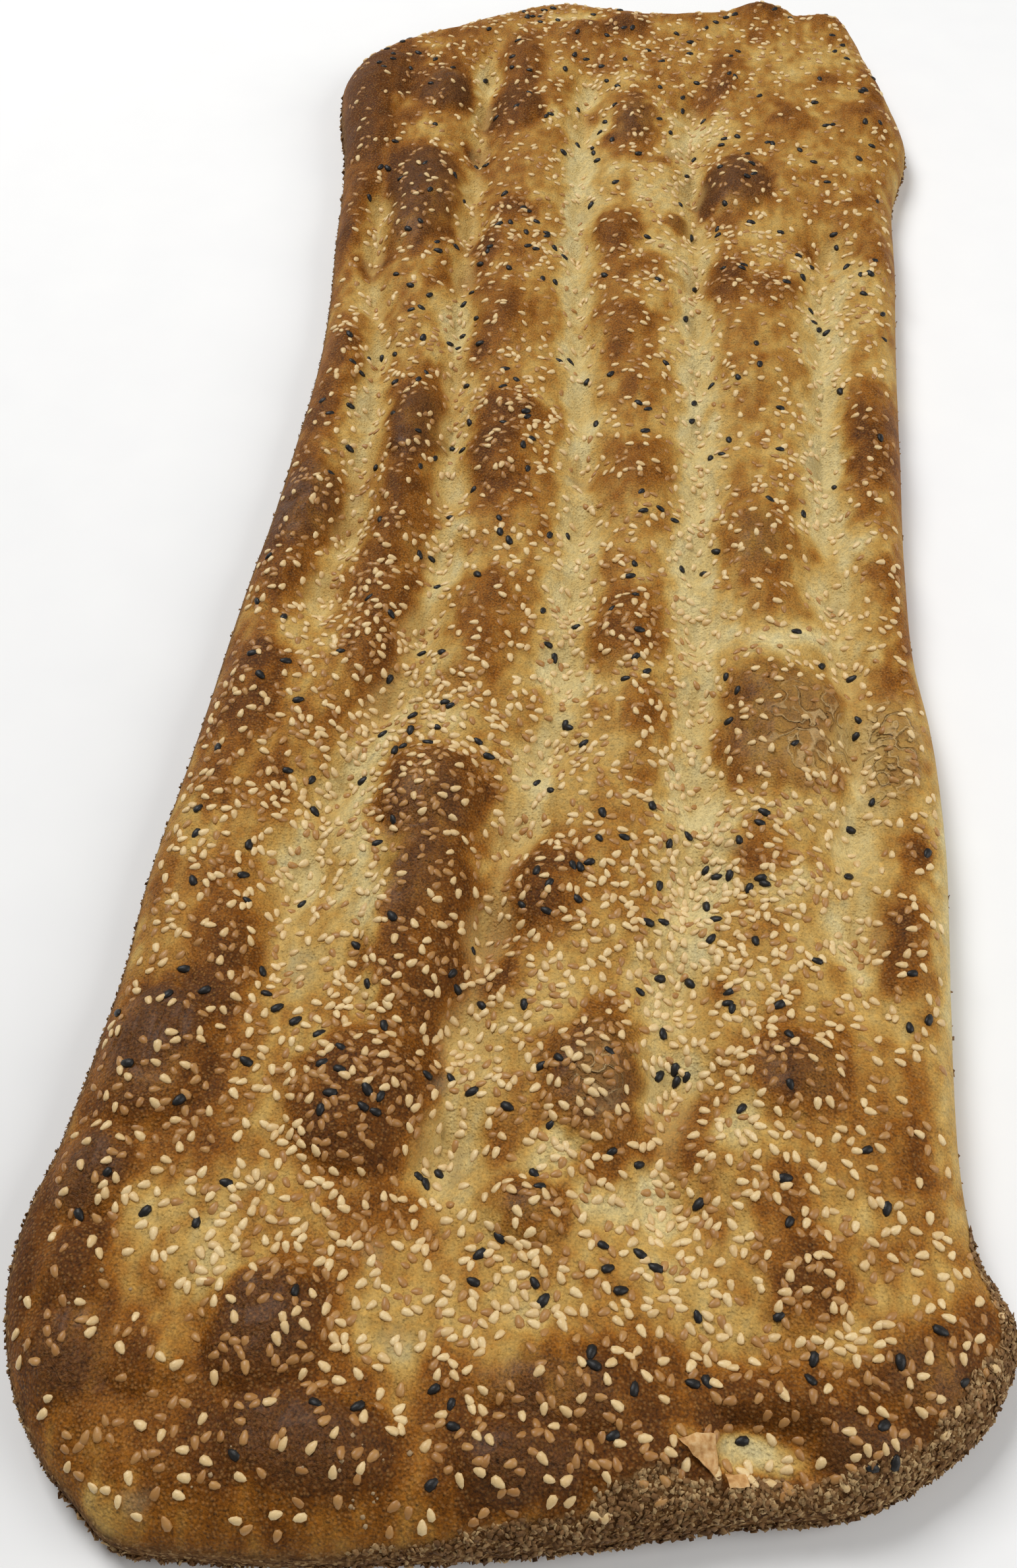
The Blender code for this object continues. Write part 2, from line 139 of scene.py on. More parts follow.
# %% A material and its nodes
class Finish:
    """A material being made: its Principled shader, and the nodes that feed it."""

    def __init__(self, name, **values):
        self.material = bpy.data.materials.new(name)
        self.material.use_nodes = True
        self.tree = self.material.node_tree
        self.shader = self.tree.nodes["Principled BSDF"]
        for socket, value in values.items():
            title = socket.replace("_", " ").title().replace("Ior", "IOR")
            self.shader.inputs[title].default_value = value
        self.place = self.node("ShaderNodeTexCoord", {}, {}, out="Object")

    def feed(self, socket, value):
        if isinstance(value, Wire):
            self.tree.links.new(value.socket, socket)
        else:
            socket.default_value = value

    def node(self, kind, settings, inputs, out=0):
        """Adds a node, sets it up, joins its sockets and gives back one output."""
        made = self.tree.nodes.new(kind)
        for name, value in settings.items():
            if name == "stops":
                self.set_stops(made.color_ramp, value)
            else:
                setattr(made, name, value)
        for key, value in inputs.items():
            self.feed(made.inputs[key], value)
        return Wire(self, made.outputs[out])

    def set_stops(self, ramp, stops):
        while len(ramp.elements) < len(stops):
            ramp.elements.new(0.5)
        for element, (position, colour) in zip(ramp.elements, stops):
            element.position = position
            element.color = colour

    def attribute(self, name):
        return self.node("ShaderNodeAttribute", {"attribute_name": name}, {}, out="Fac")

    def noise(self, size, detail=2.0, distortion=0.0, roughness=0.5):
        """Soft noise from 0 to 1, with features of the given size in millimetres."""
        inputs = {"Vector": self.place, "Scale": 1 / (size * MM), "Detail": detail,
                  "Distortion": distortion, "Roughness": roughness}
        return self.node("ShaderNodeTexNoise", {}, inputs, out="Fac")

    def cells(self, size, out="Distance"):
        """Scattered cells of the given size: the distance to each middle, or its random colour."""
        inputs = {"Vector": self.place, "Scale": 1 / (size * MM)}
        return self.node("ShaderNodeTexVoronoi", {}, inputs, out=out)

    def ramp(self, factor, stops):
        """A colour read from its stops, each a position from 0 to 1 and a colour."""
        return self.node("ShaderNodeValToRGB", {"stops": stops}, {"Fac": factor}, out="Color")

    def mix(self, factor, first, second, blend="MIX"):
        """The first colour at factor 0, and the second one at 1."""
        settings = {"data_type": "RGBA", "blend_type": blend}
        return self.node("ShaderNodeMix", settings, {0: factor, 6: first, 7: second}, out=2)

    def bump(self, height, depth, before=None):
        """A Bump node: height from 0 to 1 stands depth millimetres high."""
        inputs = {"Height": height, "Distance": depth * MM}
        if before is not None:
            inputs["Normal"] = before
        return self.node("ShaderNodeBump", {}, inputs, out="Normal")

    def wear(self, **sockets):
        """Joins the finished colour, roughness and so on to the shader."""
        for name, value in sockets.items():
            self.feed(self.shader.inputs[name.replace("_", " ")], value)
        return self.material


# %% Floor, sky and lamps
FLOOR_SIZE = 6.0
# Each lamp's name, place, size and watts. Both point at the loaf's middle.
PANELS = [("window panel", (-1.25, 1.10, 2.15), 1.2, 54.0),
          ("right panel", (1.25, -0.30, 0.90), 1.0, 11.0)]
SKY_COLOUR = (1.0, 0.99, 0.97, 1)
SKY_STRENGTH = 0.20

bm = bmesh.new()
bmesh.ops.create_grid(bm, x_segments=4, y_segments=4, size=FLOOR_SIZE / 2)
floor_mesh = bpy.data.meshes.new("floor")
bm.to_mesh(floor_mesh)
bm.free()
floor = placed("floor", floor_mesh)
paper = Finish("white_paper", roughness=0.9)
grain = paper.noise(30.0, detail=3.0)
floor_mesh.materials.append(paper.wear(
    Base_Color=paper.mix(grain, srgb(249, 249, 249), srgb(254, 254, 253))))

for name, place, size, watts in PANELS:
    panel = bpy.data.lights.new(name, "AREA")
    panel.energy = watts
    panel.size = size
    lamp = placed(name, panel)
    lamp.location = place
    lamp.rotation_euler = (-Vector(place)).to_track_quat("-Z", "Y").to_euler()

sky = bpy.data.worlds.new("sky")
sky.use_nodes = True
glow = sky.node_tree.nodes["Background"].inputs
glow["Color"].default_value = SKY_COLOUR
glow["Strength"].default_value = SKY_STRENGTH
bpy.context.scene.world = sky
bpy.context.scene.view_settings.view_transform = "Standard"
print("lamps:", [name for name, *_ in PANELS])

# %% [markdown]
# ## The outline
# The loaf was stretched by hand, so its outline follows no simple figure. Four runs of points,
# from corner to corner, hold it, and a smooth curve goes through them. A Bezier curve object
# would do as well, but plain points can be asked for any fraction of their length, and that is
# what the crust's grid needs. All of these values are in millimetres, as in the solid's source.

# %% Outline points and curves
NEAR_END = [(-107, -374), (-95, -383), (-84, -390), (-70, -391), (-32, -388), (20, -379),
            (68, -367), (97, -361), (117, -350), (132, -336)]
RIGHT_SIDE = [(132, -336), (140, -322), (142, -309), (133, -291), (130, -262), (131, -215),
              (133, -160), (131, -112), (126, -72), (125, -25), (126, 40), (127, 105),
              (129, 165), (130, 228), (138, 272), (137, 298), (128, 338), (121, 369), (112, 401)]
FAR_END = [(112, 401), (97, 415), (79, 416), (60, 419), (40, 412), (20, 407), (0, 405),
           (-40, 410), (-66, 408), (-86, 398), (-109, 382), (-131, 363), (-149, 347)]
LEFT_SIDE = [(-149, 347), (-160, 327), (-163, 305), (-158, 276), (-150, 243), (-144, 205),
             (-139, 165), (-132, 115), (-127, 60), (-126, -20), (-127, -80), (-127, -150),
             (-128, -200), (-126, -240), (-128, -290), (-131, -314), (-129, -336), (-120, -358),
             (-107, -374)]
POINTS_PER_SPAN = 12


def closed_curve(points):
    """A smooth closed curve through the points, as a dense list of places along it."""
    middle = np.array(points, float)
    before, after, later = (np.roll(middle, n, 0) for n in (1, -1, -2))
    a, b, c, d = (q[:, None, :] for q in (before, middle, after, later))
    t = (np.arange(POINTS_PER_SPAN) / POINTS_PER_SPAN)[None, :, None]
    bend = (2 * a - 5 * b + 4 * c - d) * t**2 + (3 * b - a - 3 * c + d) * t**3
    return (0.5 * (2 * b + (c - a) * t + bend)).reshape(-1, 2)


def loaf_sides():
    """The outline as four dense curves: near end, right side, far end and left side."""
    sides = [NEAR_END, RIGHT_SIDE, FAR_END, LEFT_SIDE]
    loop = closed_curve([p for side in sides for p in side[:-1]])
    curves = []
    start = 0
    for side in sides:
        stop = start + (len(side) - 1) * POINTS_PER_SPAN
        curves.append(np.take(loop, range(start, stop + 1), 0, mode="wrap"))
        start = stop
    return loop, curves


def along(curve, fractions):
    """Points at the given fractions of a curve's length."""
    steps = np.hypot(*np.diff(curve, axis=0).T)
    reach = np.concatenate([[0], np.cumsum(steps)]) / steps.sum()
    return np.stack([np.interp(fractions, reach, curve[:, k]) for k in (0, 1)], -1)


def edge_distance(x, y):
    """Distance from each place to the outline."""
    best = np.full(x.shape, 1e9)
    for (ax, ay), (bx, by) in zip(OUTLINE, np.roll(OUTLINE, -1, 0)):
        dx, dy = bx - ax, by - ay
        t = np.clip(((x - ax) * dx + (y - ay) * dy) / (dx * dx + dy * dy), 0, 1)
        best = np.minimum(best, np.hypot(x - ax - t * dx, y - ay - t * dy))
    return best


OUTLINE, SIDES = loaf_sides()
print("outline:", len(OUTLINE), "places, ", np.ptp(OUTLINE, axis=0).round(1), "mm")

# %% [markdown]
# ## The crust's height
# Everything that the hands and the oven did to the dough is a height above the table at each
# place: ridges, less the grooves, plus the blisters. Sculpting would reach the same form, but
# a height worked out from named values can be changed and read. Near the outline the height
# falls along a rounded curve, so the edge is plump like real dough.

# %% Heights, grooves and blisters
RIDGE_HEIGHT = 22.5
WIDEST_HEIGHT = 6.0
EDGE_ROUNDING = 22.0
EDGE_FULLNESS = 2.2
BASE_INSET = 4.0

# The line of each groove, from the near end to the far end
GROOVES = [
    [(-88, -95), (-97, -80), (-92, -42), (-94, -10), (-96, 30), (-101, 81), (-115, 132),
     (-121, 205)],
    [(-78, -235), (-79, -200), (-69, -152), (-62, -120), (-53, -78), (-54, -40), (-61, 22),
     (-68, 90), (-75, 183), (-80, 260), (-86, 345)],
    [(-18, -310), (-17, -250), (-12, -180), (-4, -142), (2, -99), (-2, -60), (-2, -10),
     (-8, 40), (-18, 132), (-25, 205), (-31, 325)],
    [(46, -300), (45, -240), (50, -180), (48, -110), (44, -50), (42, 0), (40, 81),
     (37, 132), (33, 200), (26, 310)],
    [(104, -225), (100, -180), (104, -120), (98, -72), (94, -20), (93, 40), (93, 132), (98, 200)],
]
GROOVE_DEPTH = 10.0
GROOVE_HALF_WIDTH = 12.5
GROOVE_NARROWING = 3.5
GROOVE_SHARPNESS = 1.4
GROOVE_FADE = 45.0
FINGERTIP_STEP = 37.0
FINGERTIP_DEPTH = 2.2

# Middle x and y, half width, half length, height, and how crisp the rim is
BLISTERS = [
    # The near end
    (-104, -266, 18, 24, 5.0, 0.7), (-112, -303, 12, 14, 4.0, 0.8), (-109, -329, 11, 12, 3.5, 0.7),
    (-106, -350, 13, 13, 3.0, 0.6), (-84, -348, 11, 10, 2.5, 0.6), (-55, -337, 17, 17, 5.0, 0.8),
    (-38, -364, 24, 14, 5.0, 0.6), (14, -361, 17, 11, 5.0, 0.6), (22, -342, 24, 12, 4.0, 0.6),
    (9, -299, 12, 9, 4.0, 0.9), (84, -309, 13, 15, 3.5, 0.6), (114, -328, 17, 17, 3.5, 0.5),
    (101, -349, 14, 9, 3.5, 0.6), (76, -338, 20, 7, 2.5, 0.6),
    # The near half, with the long blister
    (-40, -162, 19, 20, 6.0, 0.9), (-35, -212, 17, 44, 6.5, 0.9), (-42, -272, 23, 24, 6.0, 0.8),
    (-2, -192, 14, 20, 4.0, 0.6), (24, -258, 16, 22, 4.5, 0.8), (-90, -230, 13, 22, 3.5, 0.6),
    (-110, -126, 14, 30, 3.5, 0.5), (-112, -164, 9, 14, 2.5, 0.5), (81, -249, 16, 15, 4.0, 0.7),
    (115, -200, 13, 18, 3.5, 0.5), (76, -116, 26, 32, 5.5, 0.6), (114, -124, 12, 22, 3.5, 0.5),
    (-67, -94, 12, 30, 4.0, 0.6), (-36, -90, 15, 24, 3.5, 0.6), (20, -82, 14, 18, 3.5, 0.6),
    (27, -122, 11, 26, 2.5, 0.5),
    # The middle
    (-111, -28, 13, 28, 4.5, 0.8), (-112, -68, 12, 18, 3.5, 0.6), (-73, -14, 12, 18, 4.0, 0.6),
    (-75, -42, 12, 16, 3.5, 0.6), (-75, 26, 14, 26, 5.0, 0.7), (-37, 38, 15, 13, 3.5, 0.6),
    (-39, 12, 15, 22, 4.5, 0.7), (-33, -70, 15, 14, 3.0, 0.5), (18, 2, 16, 28, 3.5, 0.5),
    (15, 64, 11, 14, 3.0, 0.5), (67, -28, 15, 24, 4.0, 0.6), (71, -60, 12, 13, 2.5, 0.5),
    (62, 76, 14, 18, 3.0, 0.5), (113, 38, 13, 34, 4.0, 0.6), (-115, 66, 12, 24, 3.5, 0.6),
    (116, -30, 9, 18, 2.5, 0.5),
    # The far half
    (-101, 192, 20, 44, 6.5, 0.7), (-138, 245, 15, 22, 5.0, 0.5), (-133, 175, 9, 40, 3.0, 0.4),
    (-50, 102, 14, 30, 3.5, 0.6), (-58, 178, 12, 22, 3.0, 0.5), (-4, 172, 13, 20, 4.5, 0.7),
    (4, 108, 16, 20, 3.5, 0.5), (25, 189, 7, 8, 2.5, 0.8), (50, 222, 18, 26, 6.0, 0.7),
    (76, 230, 12, 18, 3.0, 0.4), (50, 142, 12, 17, 4.0, 0.8), (70, 136, 14, 13, 3.5, 0.6),
    (62, 108, 19, 15, 2.5, 0.5), (118, 168, 9, 24, 3.5, 0.6), (100, 200, 11, 26, 2.5, 0.5),
    # The far end
    (-142, 288, 18, 46, 7.5, 0.5), (-104, 294, 14, 21, 5.0, 0.8), (-65, 279, 14, 20, 5.0, 0.8),
    (-68, 328, 12, 26, 4.0, 0.6), (-40, 366, 15, 11, 3.5, 0.6), (-16, 375, 14, 12, 3.5, 0.6),
    (-3, 276, 11, 26, 4.0, 0.6), (60, 405, 18, 12, 5.0, 0.5), (43, 330, 10, 24, 3.0, 0.5),
    (96, 398, 16, 10, 3.0, 0.5), (116, 290, 15, 22, 3.5, 0.5), (77, 286, 11, 13, 2.5, 0.5),
    (121, 332, 9, 22, 2.5, 0.4),
]

# The torn place at the near end: a pale hollow, and the crust's lip over the bran beside it
HOLLOW = (76, -351, 17, 8, 5.0)
LIP_FROM = (36, -364)
LIP_TO = (60, -352)
LIP_HEIGHT = 2.5

# Middle x and y, half width and half length of the skins that sank back into folds
FOLDED = [(86, -122, 17, 26), (113, -122, 12, 24), (24, -258, 8, 12)]
FOLD_SIZE = 8.0
FOLD_HEIGHT = 1.3

# Size, height and noise layer of the slow swells, the lumps and the dimples
UNEVENNESS = [(58.0, 2.0, 1.0), (19.0, 1.2, 2.0), (7.5, 0.55, 3.0)]
# Pebbles roughen the plain crust, and wrinkles the toffee skins
PEBBLE_SIZE = 3.6
PEBBLE_HEIGHT = 0.20
WRINKLE_SIZE = 6.5
WRINKLE_HEIGHT = 0.8
print(len(GROOVES), "grooves and", len(BLISTERS), "blisters")


# %% The height at a place
def noise_at(x, y, size, layer):
    """Smooth noise between about -1 and 1, with features of the given size."""
    flat = [noise.noise(Vector((u / size, v / size, layer))) for u, v in zip(x.flat, y.flat)]
    return np.array(flat).reshape(x.shape)


def fade(value, start, stop):
    """0 before start, 1 after stop, and a smooth step between them."""
    t = np.clip((value - start) / (stop - start), 0, 1)
    return t * t * (3 - 2 * t)


def groove_depth(x, y):
    """How far the fingers pressed the dough down at each place."""
    depth = np.zeros(x.shape)
    for number, line in enumerate(GROOVES):
        line = np.array(line, float)
        smooth_y = np.linspace(line[0, 1], line[-1, 1], 60)
        smooth_x = np.interp(smooth_y, line[:, 1], line[:, 0])
        smooth_x = np.convolve(np.pad(smooth_x, 3, "edge"), np.ones(7) / 7, "valid")
        middle = np.interp(y, smooth_y, smooth_x)
        reach = fade(y, line[0, 1] - GROOVE_FADE / 2, line[0, 1] + GROOVE_FADE / 2)
        reach = reach * (1 - fade(y, line[-1, 1] - GROOVE_FADE / 2, line[-1, 1] + GROOVE_FADE / 2))
        tips = FINGERTIP_DEPTH * np.cos(2 * math.pi * y / FINGERTIP_STEP + 2.1 * number)
        half_width = GROOVE_HALF_WIDTH - GROOVE_NARROWING * fade(y, -150, 60)
        side = np.abs((x - middle) / half_width) ** GROOVE_SHARPNESS
        depth = np.maximum(depth, (GROOVE_DEPTH + tips) * reach * np.exp(-side))
    return depth


def blister_height(x, y):
    """How far steam lifted the crust at each place."""
    ragged = 1 + 0.16 * noise_at(x, y, 15.0, 4.0)
    lift = np.zeros(x.shape)
    for bx, by, half_width, half_length, height, crisp in BLISTERS:
        q = (((x - bx) / half_width) ** 2 + ((y - by) / half_length) ** 2) * ragged
        dome = crisp * np.clip(1 - q, 0, 1) ** 0.6 + (1 - crisp) * np.exp(-1.4 * q)
        lift = np.maximum(lift, height * dome)
    return lift


def tear_height(x, y):
    """The pale hollow at the near end, and the lip of crust beside it."""
    hx, hy, half_width, half_length, depth = HOLLOW
    q = ((x - hx) / half_width) ** 2 + ((y - hy) / half_length) ** 2
    hollow = -depth * np.exp(-q * q)
    (ax, ay), (bx, by) = LIP_FROM, LIP_TO
    length = math.hypot(bx - ax, by - ay)
    run = ((x - ax) * (bx - ax) + (y - ay) * (by - ay)) / length
    above = ((y - ay) * (bx - ax) - (x - ax) * (by - ay)) / length
    beside = fade(run, -8, 4) * (1 - fade(run, length - 4, length + 8))
    lip = LIP_HEIGHT * beside * fade(above, -1.5, 1.5) * np.exp(-np.clip(above, 0, None) / 14)
    return hollow + lip


def folds(x, y):
    """Wavy folds where a thin blister's skin sank back."""
    sway = 3.0 * noise_at(x, y, 13.0, 61.0)
    ridge = 1 - 3.2 * np.abs(noise_at(x + sway, (y + sway) * 0.55, FOLD_SIZE, 62.0))
    return FOLD_HEIGHT * spots(x, y, FOLDED, 0.5, 1.2) * np.clip(ridge, 0, 1)


def crust_height(x, y, groove, glazed, inward):
    """The crust's height at each place, from all that shaped it."""
    full = RIDGE_HEIGHT - groove + blister_height(x, y) + tear_height(x, y)
    for size, rise, layer in UNEVENNESS:
        full = full + rise * noise_at(x, y, size, layer)
    full = full + PEBBLE_HEIGHT * (1 - glazed) * noise_at(x, y, PEBBLE_SIZE, 6.0)
    crease = np.abs(noise_at(x, y * 0.7, WRINKLE_SIZE, 5.0))
    full = full - WRINKLE_HEIGHT * glazed * np.clip(1 - 5 * crease, 0, 1) + folds(x, y)
    near = np.clip(inward / EDGE_ROUNDING, 0, 1)
    rise = (1 - (1 - near) ** EDGE_FULLNESS) ** (1 / EDGE_FULLNESS)
    return WIDEST_HEIGHT + (full - WIDEST_HEIGHT) * rise


# %% [markdown]
# ## Browning and bran
# Crust browns where it stands up to the heat. So the browning starts from the relief: ridges
# golden and grooves pale. Oval marks then make places darker or paler. Most fade out softly,
# and those on blisters end at a clear edge. Noise moves their edges about, so that none looks
# like an oval, and adds a fine mottling. Each vertex keeps the result as an attribute, which
# the material reads. A painted texture would slide if the mesh changed, but attributes stay.

# %% Patches of browning, and where the bran clings
GOLDEN = 0.46
GROOVE_LEVEL = 0.18
# How much darker the crust grows toward the far end, and how much the browning changes from place
# to place in broad patches
FAR_END_DARKENING = 0.06
FAR_END_DARKENING_RUN = (120, 300)
PATCH_BROWNING = 0.06
PATCH_SIZE = 42.0
# The groove's depth, as a share of the full one, at which its sides and its floor grow pale
GROOVE_SIDES = (0.15, 0.80)
GROOVE_FLOOR = (0.40, 1.00)
GROOVE_FLOOR_SHARE = 0.4
